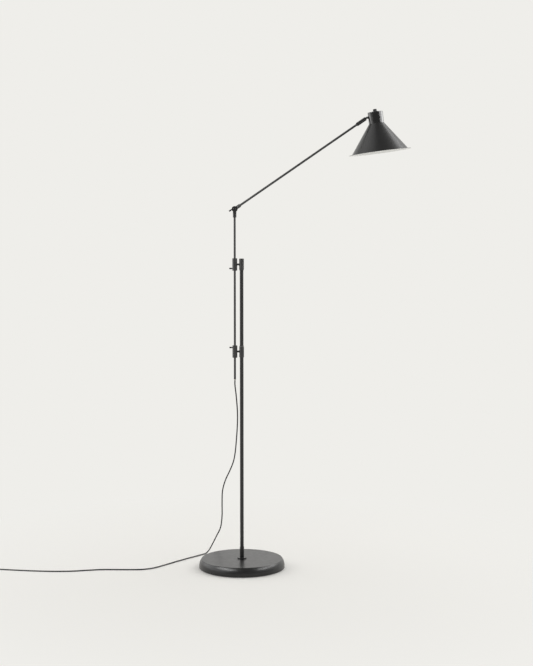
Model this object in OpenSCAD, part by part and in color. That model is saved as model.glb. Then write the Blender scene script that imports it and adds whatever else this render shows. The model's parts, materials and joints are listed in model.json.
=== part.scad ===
// Adjustable arm floor lamp: round weighted base, pole, sliding riser rod, tilting arm and conical shade.
// Millimetres, +Z up. The origin is the middle of the base on the floor; the arm points along +X.

/* [Base] */
// Diameter of the base at its widest
base_d = 280; // [270:2:290]
// Height of the base's flat top
base_h = 30.5; // [29:0.5:33]
// Radius of the base's rounded shoulder
shoulder_r = 36; // [32:1:38]
// Diameter of the flange at the pole's foot
flange_d = 30; // [26:1:36]
// Height of the sleeve round the pole's foot
sleeve_h = 35; // [25:1:45]

/* [Pole] */
// Outer diameter of the pole
pole_d = 12; // [12:0.5:13]
// Height of the pole's closed top end
pole_top = 1012; // [1010:1:1016]

/* [Clamps] */
// Distance between the pole's axis and the rod's axis
rod_gap = 22; // [21.5:0.5:24]
// Outer diameter of the barrels that guide the rod
barrel_d = 16; // [15:0.5:17]
// Length of a barrel
barrel_l = 40; // [36:1:42]
// Outer diameter of the collars on the pole
collar_d = 15.5; // [15.5:0.25:16.5]
// Length of a collar
collar_l = 38; // [36:1:40]
// Height of the middle of the upper clamp
upper_clamp_z = 993; // [990:1:993]
// Height of the middle of the lower clamp
lower_clamp_z = 711; // [705:1:725]
// Distance of a clamp's thumb screw from the clamp's middle
screw_drop = 13; // [10:0.5:14]

/* [Riser] */
// Outer diameter of the riser rod
rod_d = 7; // [6.8:0.1:7.2]
// Height of the rod's lower end
rod_foot = 621; // [619:0.5:625]
// Height of the elbow's axis
elbow_z = 1171; // [1165:1:1180]

/* [Arm] */
// Outer diameter of the arm tube
arm_d = 7; // [6.8:0.1:7.2]
// Distance from the elbow's axis to the head's hinge axis
arm_l = 513.5; // [480:0.5:540]
// Angle of the arm above the horizontal
arm_angle = 34.5; // [20:0.5:50]
// Diameter of the elbow's round cheeks
knuckle_d = 19; // [18.5:0.5:20]

/* [Head] */
// Lean of the head, with its mouth turned away from the pole
head_tilt = 7.4; // [0:0.2:12]
// Outer diameter of the neck
neck_d = 49; // [48.5:0.5:52]
// Height of the neck
neck_h = 37; // [36:0.5:39]
// Outer diameter of the shade at its lip
shade_d = 200; // [190:2:210]
// Width of the flat lip round the shade's mouth
lip_w = 9; // [6:0.5:12]
// Depth of the shade below the neck
shade_h = 92.4; // [88:0.2:100]
// Thickness of the shade's sheet metal
sheet_t = 1; // [0.8:0.1:1.2]

/* [Cord] */
// Diameter of the mains lead
cord_d = 4.2; // [4:0.1:4.2]
// Radius of the coil at the middle of its turns
coil_mid_r = 23; // [22:0.5:25]

/* [Hidden] */
$fn = 96;

// Finishes
black = [0.06, 0.06, 0.065];
gloss = [0.03, 0.03, 0.03];
iron = [0.30, 0.30, 0.31];
zinc = [0.72, 0.73, 0.75];
brass = [0.80, 0.66, 0.36];
nylon = [0.86, 0.85, 0.80];
felt = [0.10, 0.10, 0.11];
lead = [0.05, 0.05, 0.05];
glass = [0.95, 0.95, 0.92];

// Fits: radial gap of a turning or sliding fit, and of two pieces fixed together
run = 0.05;
snug = 0.01;
through = 0.5; // how far a cut runs past the face that it opens

// Base
pad_t = 2;
plate_t = 2;
cover_t = 1.2;
cover_edge_z = pad_t;
widest_z = 8;
weight_r = 118;
weight_h = 15;
boss_r = 20;
stud_d = 6;
stud_hole_d = stud_d + 0.3;
plate_z = pad_t;
weight_z = plate_z + plate_t;
recess_r = 12;
recess_h = 10;
washer_t = 1.6;
nut_t = 5;
plate_screw_r = 90;
plate_screw_d = 4;
flange_t = 3.5;
flange_z = base_h;
sleeve_z = flange_z + flange_t;

// Pole
pole_r = pole_d / 2;
pole_bore_r = pole_r - 1.5;
cap_t = 3;
insert_l = 30;

// Clamps
collar_taper = 4;
collar_end_r = pole_r + 0.8;
bridge_d = 6.5;
barrel_bore_r = 4.5;
bridge_seat_r = barrel_bore_r + 0.6;
liner_r = barrel_bore_r - snug;
rod_r = rod_d / 2;
grub_d = 3;

// Thumb screw, measured outwards from its tip
screw_d = 4;
screw_neck_d = 3.2;
screw_head_d = 4.8;
screw_shank_l = 4.8;
screw_neck_l = 1.2;
screw_l = 13.8;
clamp_tip_r = rod_r + 0.3;
elbow_tip_x = 4.8;
elbow_screw_up = 4.2;

// Riser and elbow
tube_wall = 0.7;
rod_top_drop = 13;
ferrule_d = 11.5;
ferrule_l = 19;
ferrule_drop = 27;
eye_half = 2.95;
washer_in = 3.02;
washer_out = 3.58;
cheek_in = 3.6;
cheek_out = 6.2;
bolt_d = 5;
bolt_head_d = 9;

// Arm
root_x = 10;
root_l = 11.5;
root_d = 11.2;
tube_start = 13;
end_ferrule_x = arm_l - 39;
end_ferrule_end = arm_l - 3.8;
end_ferrule_d = 12;
tongue_half = 1.45;
hinge_r = 3.4;
hinge_pin_d = 2;

// Head, in its own frame: Z along the head's axis, zero at the hinge's height
neck_r = neck_d / 2;
neck_wall = 1.2;
hinge_off = neck_r + 4.4;
neck_top = 15.4;
neck_low = neck_top - neck_h;
lip_r = shade_d / 2;
cone_r = lip_r - lip_w;
rim_z = neck_low - shade_h + sheet_t;
cone_slope = (cone_r - neck_r) / (neck_low - rim_z);
cone_angle = atan(cone_slope);
collar_hole_r = 14.25;
holder_r = 14;
holder_top = -8;
holder_mouth = -50;
bulb_r = 22.5;
bulb_z = -75.5;
switch_bush_d = 10;
switch_shaft_d = 4;
knob_d = 12;
knob_z = neck_top + 2.8;
knob_h = 6.3;

// Mains lead: heights in the route are those of its underside
cord_r = cord_d / 2;
bush_t = 2.7;
bush_l = 7.5;
bush_z = rod_foot - 0.3 - bush_t;
cord_sides = 10;
steps_between = 2;
coil_at = [-838, -54.5];
outer_turn_r = coil_mid_r + cord_r;
plug_x = coil_at[0] - outer_turn_r;
plug_y = -96;
plug_t = 13.7;
relief_l = 20;
plug_l = 35;
pin_d = 4;
pin_l = 19;
pin_gap = 18.6;

drop_route = [
    [-rod_gap, 0, bush_z + 6 - cord_r], [-rod_gap, 0, 612], [-rod_gap, 0, 600], [-17.7, 4, 560],
    [-14.5, 20, 510], [-15.2, 42, 464], [-19, 74, 411], [-24, 107, 361], [-31, 131, 325],
    [-43.6, 152, 291], [-59, 171, 255], [-69.3, 190, 215], [-71.2, 202, 170], [-71.6, 207, 125],
    [-77, 209, 85], [-91.7, 208, 54], [-105.4, 205, 27], [-116.8, 198, 8],
    [-127.3, 185.2, 0], [-133.5, 177, 0]
];
run_route = [
    [-133.8, 176.6, 0], [-155, 151, 0], [-185, 115, 0], [-222, 68, 0], [-258, 20, 0],
    [-290, -18, 0], [-325, -36, 0], [-365, -38.5, 0], [-410, -38, 0], [-455, -38, 0],
    [-500, -47, 0], [-545, -58, 0], [-600, -62, 0], [-655, -58, 0], [-705, -51, 0],
    [-755, -41.5, 0], [-806, -31.2, 0], [coil_at[0], coil_at[1] + outer_turn_r, 0]
];
tail_route = [
    [plug_x, coil_at[1], cord_d], [plug_x, -75, 4.6], [plug_x, plug_y, plug_t / 2 - cord_r]
];

// ---------------------------------------------------------------- helpers

// A tube along Z
module tube(r_out, r_in, h) {
    difference() {
        cylinder(r = r_out, h = h);
        translate([0, 0, -through]) cylinder(r = r_in, h = h + 2 * through);
    }
}

// A round bar along Y, from y0 to y1
module bar_y(d, y0, y1) {
    translate([0, y0, 0]) rotate([-90, 0, 0]) cylinder(d = d, h = y1 - y0);
}

// A round bar along X, from x0 to x1
module bar_x(d, x0, x1) {
    translate([x0, 0, 0]) rotate([0, 90, 0]) cylinder(d = d, h = x1 - x0);
}

module on_rod() { translate([-rod_gap, 0, 0]) children(); }
module at_elbow() { translate([-rod_gap, 0, elbow_z]) children(); }
module on_arm() { at_elbow() rotate([0, -arm_angle, 0]) children(); }
module in_head() {
    on_arm() translate([arm_l, 0, 0]) rotate([0, arm_angle - head_tilt, 0])
        translate([hinge_off, 0, 0]) children();
}

// A thumb screw that points along -X, with its tip at tip_x from the axis
module thumb_screw(tip_x) {
    neck_x = tip_x + screw_shank_l;
    head_x = neck_x + screw_neck_l;
    mirror([1, 0, 0]) {
        bar_x(screw_d, tip_x, neck_x);
        bar_x(screw_neck_d, neck_x, head_x);
        bar_x(screw_head_d, head_x, tip_x + screw_l - 0.6);
        translate([tip_x + screw_l - 0.6, 0, 0]) rotate([0, 90, 0])
            cylinder(d1 = screw_head_d, d2 = screw_head_d - 1.2, h = 0.6);
    }
}

// Sweep of a round section along a route: a smooth curve runs through every point
function curve_at(a, b, c, d, t) =
    0.5 * (2 * b + (c - a) * t + (2 * a - 5 * b + 4 * c - d) * t * t + (3 * b - a - 3 * c + d) * t * t * t);
function before(r) = 2 * r[0] - r[1];
function after(r) = 2 * r[len(r) - 1] - r[len(r) - 2];
function padded(r) = concat([before(r)], r, [after(r)]);
function off_floor(p) = [p[0], p[1], max(p[2], 0) + cord_r];
function smooth(r) = let (q = padded(r)) concat(
    [for (i = [1 : len(r) - 1], s = [0 : steps_between - 1])
        off_floor(curve_at(q[i - 1], q[i], q[i + 1], q[i + 2], s / steps_between))],
    [off_floor(r[len(r) - 1])]
);
function unit(v) = v / norm(v);
function heading(p, i) = unit(p[min(i + 1, len(p) - 1)] - p[max(i - 1, 0)]);
// A side direction that never lies along the route, turned square to it
function side_of(h) = unit(cross(h, abs(h[2]) > 0.9 ? [0, 1, 0] : [0, 0, 1]));
function carried(side, h) = unit(side - (side * h) * h);
function sides_along(p, i, side) =
    i >= len(p) ? [] : let (s = carried(side, heading(p, i))) concat([s], sides_along(p, i + 1, s));
function ring(at, h, side) =
    [for (k = [0 : cord_sides - 1]) let (a = 360 * k / cord_sides)
        at + cord_r * (cos(a) * side + sin(a) * cross(h, side))];

module lead_along(route) {
    path = smooth(route);
    sides = sides_along(path, 0, side_of(heading(path, 0)));
    rings = len(path);
    points = [for (i = [0 : rings - 1]) each ring(path[i], heading(path, i), sides[i])];
    walls = [for (i = [0 : rings - 2], k = [0 : cord_sides - 1])
        let (n = (k + 1) % cord_sides, a = i * cord_sides, b = a + cord_sides)
        each [[a + k, b + k, b + n], [a + k, b + n, a + n]]];
    first = [for (k = [0 : cord_sides - 1]) k];
    last = [for (k = [cord_sides - 1 : -1 : 0]) (rings - 1) * cord_sides + k];
    color(lead) polyhedron(points = points, faces = concat([first], walls, [last]), convexity = 8);
}

// ---------------------------------------------------------------- base

// Half section of a dome-edged disc, from its axis out
module base_section(r, h, round_r) {
    intersection() {
        square([r, h]);
        union() {
            translate([r - round_r, widest_z]) circle(r = round_r);
            square([r, widest_z]);
            square([r - round_r, h]);
        }
    }
}

module base_cover() {
    color(black) rotate_extrude() difference() {
        base_section(base_d / 2, base_h, shoulder_r);
        base_section(base_d / 2 - cover_t, base_h - cover_t, shoulder_r - cover_t);
        square([base_d, cover_edge_z]);
        square([stud_hole_d / 2, base_h + through]);
    }
}

module base_weight() {
    color(iron) difference() {
        union() {
            translate([0, 0, weight_z]) cylinder(r = weight_r, h = weight_h);
            translate([0, 0, weight_z]) cylinder(r = boss_r, h = base_h - cover_t - weight_z);
        }
        translate([0, 0, weight_z - through]) cylinder(r = recess_r, h = recess_h + through);
        cylinder(d = stud_hole_d, h = base_h);
        for (a = [30 : 120 : 270]) rotate([0, 0, a]) translate([plate_screw_r, 0, weight_z - through])
            cylinder(d = plate_screw_d + 2 * snug, h = 9);
    }
}

module plate_screw_shape(gap) {
    translate([0, 0, plate_z - gap]) cylinder(d1 = 2 * plate_screw_d + 2 * gap, d2 = plate_screw_d + 2 * gap, h = plate_t);
    translate([0, 0, plate_z]) cylinder(d = plate_screw_d + 2 * gap, h = plate_t + 8);
}

module bottom_plate() {
    color(zinc) difference() {
        translate([0, 0, plate_z]) cylinder(r = base_d / 2 - cover_t - 0.3, h = plate_t);
        for (a = [30 : 120 : 270]) rotate([0, 0, a]) translate([plate_screw_r, 0, 0]) plate_screw_shape(snug);
    }
}

module plate_screws() {
    color(zinc) for (a = [30 : 120 : 270]) rotate([0, 0, a]) translate([plate_screw_r, 0, 0]) difference() {
        plate_screw_shape(0);
        translate([0, 0, plate_z - through]) cylinder(d = 2.5, h = 1.2 + through, $fn = 6);
    }
}

module felt_pad() {
    color(felt) cylinder(r = base_d / 2 - 5, h = pad_t);
}

module base_washer() {
    color(zinc) translate([0, 0, weight_z + recess_h - washer_t]) tube(9, stud_hole_d / 2, washer_t);
}

module base_nut() {
    color(zinc) translate([0, 0, weight_z + recess_h - washer_t - nut_t]) difference() {
        cylinder(d = 11.5, h = nut_t, $fn = 6);
        translate([0, 0, -through]) cylinder(r = stud_d / 2 + snug, h = nut_t + 2 * through);
    }
}

// ---------------------------------------------------------------- pole

module pole_flange() {
    color(black) translate([0, 0, flange_z]) tube(flange_d / 2, stud_hole_d / 2, flange_t);
}

module foot_sleeve() {
    color(black) translate([0, 0, sleeve_z]) tube(pole_r + 1, pole_r + snug, sleeve_h);
}

module pole_insert() {
    color(zinc) translate([0, 0, sleeve_z]) tube(pole_bore_r - snug, stud_d / 2 + snug, insert_l);
}

module pole_stud() {
    color(zinc) translate([0, 0, weight_z + 1.5]) cylinder(d = stud_d, h = sleeve_z + insert_l - weight_z - 4);
}

module main_pole() {
    color(black) translate([0, 0, sleeve_z]) tube(pole_r, pole_bore_r, pole_top - cap_t - sleeve_z);
}

module pole_cap() {
    color(gloss) {
        translate([0, 0, pole_top - cap_t]) cylinder(r = pole_r, h = cap_t - 0.5);
        translate([0, 0, pole_top - cap_t - 12]) cylinder(r = pole_bore_r - snug, h = 12.5);
    }
}

// ---------------------------------------------------------------- clamps

// A collar round the pole, with its bridge hole on the rod's side and its grub screw behind
module collar(z, grub_up) {
    half = collar_l / 2;
    color(black) translate([0, 0, z]) difference() {
        rotate_extrude() polygon([
            [pole_r + snug, -half], [collar_end_r, -half], [collar_d / 2, -half + collar_taper],
            [collar_d / 2, half - collar_taper / 4], [collar_end_r, half], [pole_r + snug, half]
        ]);
        bar_x(bridge_d + 2 * snug, -collar_d, -pole_r + 1);
        translate([0, 0, grub_up]) bar_y(grub_d + 2 * snug, 0, collar_d);
    }
}

module upper_collar() { collar(upper_clamp_z, -screw_drop); }
module lower_collar() { mirror_about(lower_clamp_z) collar(lower_clamp_z, -screw_drop); }
module mirror_about(z) { translate([0, 0, 2 * z]) mirror([0, 0, 1]) children(); }

module grub(z) {
    color(zinc) translate([0, 0, z]) difference() {
        bar_y(grub_d, pole_r + 0.05, collar_d / 2 + 0.25);
        translate([0, collar_d / 2 - 1, 0]) rotate([-90, 0, 0]) cylinder(d = 1.7, h = 2, $fn = 6);
    }
}

module collar_screws() {
    grub(upper_clamp_z - screw_drop);
    grub(lower_clamp_z + screw_drop);
}

// A short bar from collar to barrel, with a small weld fillet at the collar
module bridge(z) {
    color(black) translate([0, 0, z]) {
        bar_x(bridge_d, -rod_gap + bridge_seat_r, -pole_r - snug - 0.05);
        difference() {
            translate([-collar_d / 2 - 1.8, 0, 0]) rotate([0, 90, 0])
                cylinder(d1 = bridge_d, d2 = bridge_d + 3.5, h = 2.6);
            translate([0, 0, -collar_d]) cylinder(r = collar_d / 2 + 0.02, h = 2 * collar_d);
        }
    }
}

module upper_bridge() { bridge(upper_clamp_z); }
module lower_bridge() { bridge(lower_clamp_z); }

// A barrel round the rod: its bridge hole faces the pole and its screw hole faces away
module barrel(z, screw_up) {
    half = barrel_l / 2;
    edge = 0.8;
    color(black) on_rod() translate([0, 0, z]) difference() {
        rotate_extrude() polygon([
            [barrel_bore_r, -half], [barrel_d / 2 - edge, -half], [barrel_d / 2, -half + edge],
            [barrel_d / 2, half - edge], [barrel_d / 2 - edge, half], [barrel_bore_r, half]
        ]);
        bar_x(bridge_d + 2 * snug, bridge_seat_r - 0.05, barrel_d);
        translate([0, 0, screw_up]) bar_x(screw_d + 2 * run, -barrel_d, 0);
    }
}

module upper_barrel() { barrel(upper_clamp_z, -screw_drop); }
module lower_barrel() { barrel(lower_clamp_z, screw_drop); }

module liner(z, screw_up) {
    color(nylon) on_rod() translate([0, 0, z]) difference() {
        translate([0, 0, -barrel_l / 2]) tube(liner_r, rod_r + run, barrel_l);
        translate([0, 0, screw_up]) bar_x(screw_d + 2 * run, -barrel_d, 0);
    }
}

module upper_liner() { liner(upper_clamp_z, -screw_drop); }
module lower_liner() { liner(lower_clamp_z, screw_drop); }

module clamp_screw(z) { color(black) on_rod() translate([0, 0, z]) thumb_screw(clamp_tip_r); }
module upper_clamp_screw() { clamp_screw(upper_clamp_z - screw_drop); }
module lower_clamp_screw() { clamp_screw(lower_clamp_z + screw_drop); }

// ---------------------------------------------------------------- mains lead

module cord_bush() {
    color(nylon) on_rod() translate([0, 0, bush_z]) difference() {
        union() {
            cylinder(r = rod_r, h = bush_t);
            cylinder(r = rod_r - tube_wall - run, h = bush_t + bush_l);
        }
        translate([0, 0, -through]) cylinder(r = cord_r + run, h = bush_t + bush_l + 2 * through);
    }
}

module cord_drop() { lead_along(drop_route); }
module cord_run() { lead_along(run_route); }
module cord_tail() { lead_along(tail_route); }

module cord_coil() {
    color(lead) translate([coil_at[0], coil_at[1], 0]) rotate_extrude()
        translate([coil_mid_r - cord_d, 0]) square([2 * cord_d, 2 * cord_d]);
}

module plug_relief() {
    color(lead) translate([plug_x, plug_y, plug_t / 2]) rotate([90, 0, 0])
        cylinder(d1 = cord_d + 1.4, d2 = 9, h = relief_l);
}

module plug_body() {
    corner = 3;
    face_y = plug_y - relief_l - plug_l;
    color(lead) linear_extrude(height = plug_t) hull() for (side = [-1, 1]) {
        translate([plug_x + side * (35.3 / 2 - corner), face_y + corner]) circle(r = corner, $fn = 32);
        translate([plug_x + side * (35.3 / 2 - corner), face_y + 19]) circle(r = corner, $fn = 32);
        translate([plug_x + side * 4.5, plug_y - relief_l - corner]) circle(r = corner, $fn = 32);
    }
}

module plug_pins() {
    face_y = plug_y - relief_l - plug_l;
    color(brass) for (side = [-1, 1]) translate([plug_x + side * pin_gap / 2, face_y - pin_l, plug_t / 2])
        bar_y(pin_d, 0, pin_l);
}

// ---------------------------------------------------------------- riser

module riser_rod() {
    color(black) on_rod() translate([0, 0, rod_foot])
        tube(rod_r, rod_r - tube_wall, elbow_z - rod_top_drop - rod_foot);
}

module rod_cable() {
    start = bush_z + bush_t + bush_l + 0.5;
    color(lead) on_rod() translate([0, 0, start]) cylinder(r = cord_r, h = elbow_z - rod_top_drop - 2 - start);
}

// Socket for the rod with two round cheeks above it
module elbow_fork() {
    color(black) at_elbow() difference() {
        union() {
            translate([0, 0, -ferrule_drop]) cylinder(d = ferrule_d, h = ferrule_l);
            for (side = [0, 1]) mirror([0, side, 0]) {
                bar_y(knuckle_d, cheek_in, cheek_out);
                translate([-ferrule_d / 2 + 0.5, cheek_in, -knuckle_d * 0.75])
                    cube([ferrule_d - 1, cheek_out - cheek_in, knuckle_d * 0.75]);
            }
        }
        translate([0, 0, -ferrule_drop - through])
            cylinder(r = rod_r + snug, h = ferrule_drop - rod_top_drop + through);
        bar_y(knuckle_d + 0.8, -cheek_in, cheek_in);
        bar_y(bolt_d + 2 * snug, -knuckle_d, knuckle_d);
    }
}

module elbow_washers() {
    color(nylon) at_elbow() for (side = [0, 1]) mirror([0, side, 0]) difference() {
        bar_y(14, washer_in, washer_out);
        bar_y(bolt_d + 2 * snug, 0, knuckle_d);
    }
}

module elbow_bolt() {
    color(black) at_elbow() {
        bar_y(bolt_d, -cheek_out, cheek_out + 3.4);
        translate([0, -cheek_out, 0]) rotate([90, 0, 0]) {
            cylinder(d = bolt_head_d, h = 1.2);
            translate([0, 0, 1.2]) cylinder(d1 = bolt_head_d, d2 = bolt_head_d - 3, h = 1);
        }
    }
}

module elbow_nut() {
    color(black) at_elbow() difference() {
        translate([0, cheek_out, 0]) rotate([-90, 0, 0]) cylinder(d = 9.8, h = 3, $fn = 6);
        bar_y(bolt_d + 2 * snug, 0, knuckle_d);
    }
}

// ---------------------------------------------------------------- arm

module elbow_eye() {
    color(black) on_arm() difference() {
        union() {
            bar_y(knuckle_d, -eye_half, eye_half);
            translate([0, -eye_half, -5]) cube([root_x + 2, 2 * eye_half, 10]);
            bar_x(root_d, root_x, root_x + root_l);
        }
        bar_y(bolt_d + 2 * run, -knuckle_d, knuckle_d);
        bar_x(arm_d + 2 * snug, tube_start, root_x + root_l + through);
        translate([0, 0, elbow_screw_up]) bar_x(screw_d + 2 * run, -knuckle_d, -elbow_tip_x + 0.4);
    }
}

module arm_tube() {
    color(black) on_arm() difference() {
        bar_x(arm_d, tube_start, end_ferrule_x + 7);
        bar_x(arm_d - 2 * tube_wall, tube_start - through, end_ferrule_x + 7 + through);
    }
}

module arm_cable() {
    color(lead) on_arm() bar_x(cord_d, tube_start + 3, end_ferrule_x + 5);
}

module arm_end_ferrule() {
    color(gloss) on_arm() difference() {
        union() {
            bar_x(end_ferrule_d, end_ferrule_x, end_ferrule_end);
            translate([end_ferrule_end - 1, -tongue_half, -hinge_r])
                cube([arm_l - end_ferrule_end + 1, 2 * tongue_half, 2 * hinge_r]);
            translate([arm_l, 0, 0]) bar_y(2 * hinge_r, -tongue_half, tongue_half);
        }
        bar_x(arm_d + 2 * snug, end_ferrule_x - through, end_ferrule_x + 7);
        bar_x(arm_d - 3, end_ferrule_x, end_ferrule_end - 3);
        translate([arm_l, 0, 0]) bar_y(hinge_pin_d + 2 * run, -knuckle_d, knuckle_d);
    }
}

module elbow_screw() {
    color(black) on_arm() translate([0, 0, elbow_screw_up]) thumb_screw(elbow_tip_x);
}

// ---------------------------------------------------------------- head

module hinge_ears() {
    ear_in = tongue_half + 0.15;
    ear_t = 1.8;
    color(gloss) in_head() difference() {
        union() {
            for (side = [0, 1]) mirror([0, side, 0]) {
                translate([-hinge_off, 0, 0]) bar_y(2 * hinge_r, ear_in, ear_in + ear_t);
                translate([-hinge_off, ear_in, -hinge_r]) cube([hinge_off - neck_r + 1, ear_t, 2 * hinge_r]);
            }
            intersection() {
                translate([0, 0, -4.5]) cylinder(r = neck_r + 0.6, h = 9);
                translate([-neck_r - 3, -5.5, -4.5]) cube([6, 11, 9]);
            }
        }
        translate([0, 0, -10]) cylinder(r = neck_r + snug, h = 20);
        translate([-hinge_off, 0, 0]) bar_y(hinge_pin_d + 2 * snug, -knuckle_d, knuckle_d);
    }
}

module hinge_pin() {
    half = tongue_half + 2.2;
    color(zinc) in_head() translate([-hinge_off, 0, 0]) bar_y(hinge_pin_d, -half, half);
}

module neck_cup() {
    edge = 0.8;
    color(gloss) in_head() rotate_extrude() polygon([
        [neck_r - neck_wall, neck_low], [neck_r, neck_low], [neck_r, neck_top - edge],
        [neck_r - edge, neck_top], [switch_bush_d / 2 + run, neck_top],
        [switch_bush_d / 2 + run, neck_top - neck_wall], [neck_r - neck_wall, neck_top - neck_wall]
    ]);
}

module shade() {
    inset = sheet_t / cos(cone_angle) - cone_slope * sheet_t;
    color(black) in_head() rotate_extrude() polygon([
        [collar_hole_r, neck_low], [neck_r, neck_low], [cone_r, rim_z], [lip_r, rim_z],
        [lip_r, rim_z - sheet_t], [cone_r - inset, rim_z - sheet_t],
        [neck_r - inset, neck_low - sheet_t], [collar_hole_r, neck_low - sheet_t]
    ]);
}

module holder_plate() {
    color(zinc) in_head() translate([0, 0, neck_low + 0.05])
        tube(neck_r - neck_wall - 0.1, collar_hole_r, 1.5);
}

module lampholder() {
    mouth_r = 8.3;
    color(black) in_head() difference() {
        union() {
            translate([0, 0, holder_mouth]) cylinder(r = holder_r, h = holder_top - holder_mouth);
            translate([0, 0, neck_low + 1.6]) cylinder(r = 18, h = 2);
        }
        translate([0, 0, holder_mouth - through]) cylinder(r = mouth_r, h = 30 + through);
    }
}

module shade_ring() {
    height = 4.4;
    color(black) in_head() translate([0, 0, neck_low - sheet_t - 0.05 - height]) tube(20, holder_r + snug, height);
}

module bulb_cap() {
    color(brass) in_head() translate([0, 0, holder_mouth + 3.5]) cylinder(r = 6.9, h = 25);
}

// The bulb's outline in the round, shrunk by a wall, and taller at the cap for the inside
module bulb_form(wall) {
    r = bulb_r - wall;
    base_r = 7.9 - wall;
    base_z = holder_mouth - 0.5;
    cone_z = bulb_z + (r - 1) * sin(42);
    translate([0, 0, bulb_z]) sphere(r = r);
    translate([0, 0, cone_z]) cylinder(r1 = (r - 1) * cos(42), r2 = base_r, h = base_z - cone_z);
    translate([0, 0, base_z - through]) cylinder(r = base_r, h = 4 + through + wall);
}

module bulb_glass() {
    color(glass) in_head() difference() {
        bulb_form(0);
        bulb_form(0.8);
    }
}

module switch_body() {
    body_top = neck_top - neck_wall - 0.05;
    color(black) in_head() difference() {
        union() {
            translate([-10, -7, body_top - 13]) cube([20, 14, 13]);
            translate([0, 0, body_top - 1]) cylinder(d = switch_bush_d, h = neck_top + 2.5 - body_top + 1);
        }
        translate([0, 0, body_top - 4]) cylinder(d = switch_shaft_d + 2 * run, h = 20);
    }
}

module switch_nut() {
    color(black) in_head() translate([0, 0, neck_top]) tube(8.5, switch_bush_d / 2 + snug, 2.4);
}

module switch_knob() {
    color(black) in_head() {
        translate([0, 0, knob_z]) cylinder(d = knob_d, h = knob_h - 0.8);
        translate([0, 0, knob_z + knob_h - 0.8]) cylinder(d1 = knob_d, d2 = knob_d - 1.6, h = 0.8);
        translate([0, 0, neck_top - neck_wall - 3.5]) cylinder(d = switch_shaft_d, h = knob_z - neck_top + 5.2);
    }
}

module head_wires() {
    wire_top = neck_top - neck_wall - 13.1;
    color(brass) in_head() for (side = [-1, 1])
        translate([side * 5, 0, holder_top]) cylinder(d = 1.8, h = wire_top - holder_top);
}

// ---------------------------------------------------------------- nodes

base_cover();
base_weight();
bottom_plate();
plate_screws();
felt_pad();
pole_flange();
foot_sleeve();
pole_insert();
pole_stud();
base_washer();
base_nut();
main_pole();
pole_cap();
upper_collar();
lower_collar();
collar_screws();
upper_bridge();
lower_bridge();
upper_barrel();
lower_barrel();
upper_liner();
lower_liner();
upper_clamp_screw();
lower_clamp_screw();
cord_bush();
cord_drop();
cord_run();
cord_coil();
cord_tail();
plug_relief();
plug_body();
plug_pins();
riser_rod();
rod_cable();
elbow_fork();
elbow_washers();
elbow_bolt();
elbow_nut();
elbow_eye();
arm_tube();
arm_end_ferrule();
arm_cable();
elbow_screw();
hinge_ears();
hinge_pin();
neck_cup();
shade();
holder_plate();
lampholder();
shade_ring();
bulb_cap();
bulb_glass();
switch_body();
switch_nut();
switch_knob();
head_wires();
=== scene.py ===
"""Looks of an adjustable arm floor lamp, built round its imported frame.

Metres, +Z up, the arm towards +X. Sizes are fields of the sub-assembly that uses them, and places come from
the frame's boxes and joints.
"""

import json
import logging
import math
from dataclasses import dataclass, field, replace
from enum import Enum
from functools import cache
from typing import Iterable, Sequence

import bmesh
import bpy
from mathutils import Matrix, Vector


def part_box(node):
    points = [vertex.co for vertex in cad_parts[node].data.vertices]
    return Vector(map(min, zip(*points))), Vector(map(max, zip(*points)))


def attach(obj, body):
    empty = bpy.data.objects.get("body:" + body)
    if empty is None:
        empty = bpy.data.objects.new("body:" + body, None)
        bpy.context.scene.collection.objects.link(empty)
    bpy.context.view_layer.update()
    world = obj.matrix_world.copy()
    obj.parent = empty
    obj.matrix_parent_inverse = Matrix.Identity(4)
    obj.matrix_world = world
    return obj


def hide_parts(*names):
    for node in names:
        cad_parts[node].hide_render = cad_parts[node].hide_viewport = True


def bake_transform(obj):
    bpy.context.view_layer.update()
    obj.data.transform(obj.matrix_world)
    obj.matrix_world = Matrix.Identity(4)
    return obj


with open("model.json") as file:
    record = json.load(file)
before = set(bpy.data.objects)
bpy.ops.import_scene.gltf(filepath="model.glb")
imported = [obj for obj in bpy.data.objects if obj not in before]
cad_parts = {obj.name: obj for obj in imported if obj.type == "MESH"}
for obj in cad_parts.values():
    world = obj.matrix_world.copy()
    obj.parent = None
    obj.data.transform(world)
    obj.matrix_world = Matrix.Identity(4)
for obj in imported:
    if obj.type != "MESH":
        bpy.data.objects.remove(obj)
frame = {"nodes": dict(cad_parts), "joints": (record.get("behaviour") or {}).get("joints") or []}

logging.basicConfig(level=logging.INFO, format="%(levelname)s %(message)s")
log = logging.getLogger("lamp")

Point = tuple[float, float]
Corner = tuple[float, float, float]
Colour = tuple[float, float, float]

AXIS_REACH = 1e-7
SNUG = 0.00001
CREASE = 38.0
NOISE_MIDDLE = (0.3, 0.7)
WEAR_BEND = (0.985, 0.80)
WEAR_PATCH = 0.004
HERE = Matrix.Identity(4)


class Way(Enum):
    """Which way a turned piece's axis points, as quarter turns from local Z and the axis they go about."""

    ARM = (1, "Y")
    BACK_ALONG_ARM = (-1, "Y")
    FRONT = (1, "X")
    BACK = (-1, "X")

    def turn(self) -> Matrix:
        """Rotation from local Z to this direction of the frame that it is used in."""
        quarters, about = self.value
        return Matrix.Rotation(quarters * math.pi / 2, 4, about)


# ---- finishes


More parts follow.
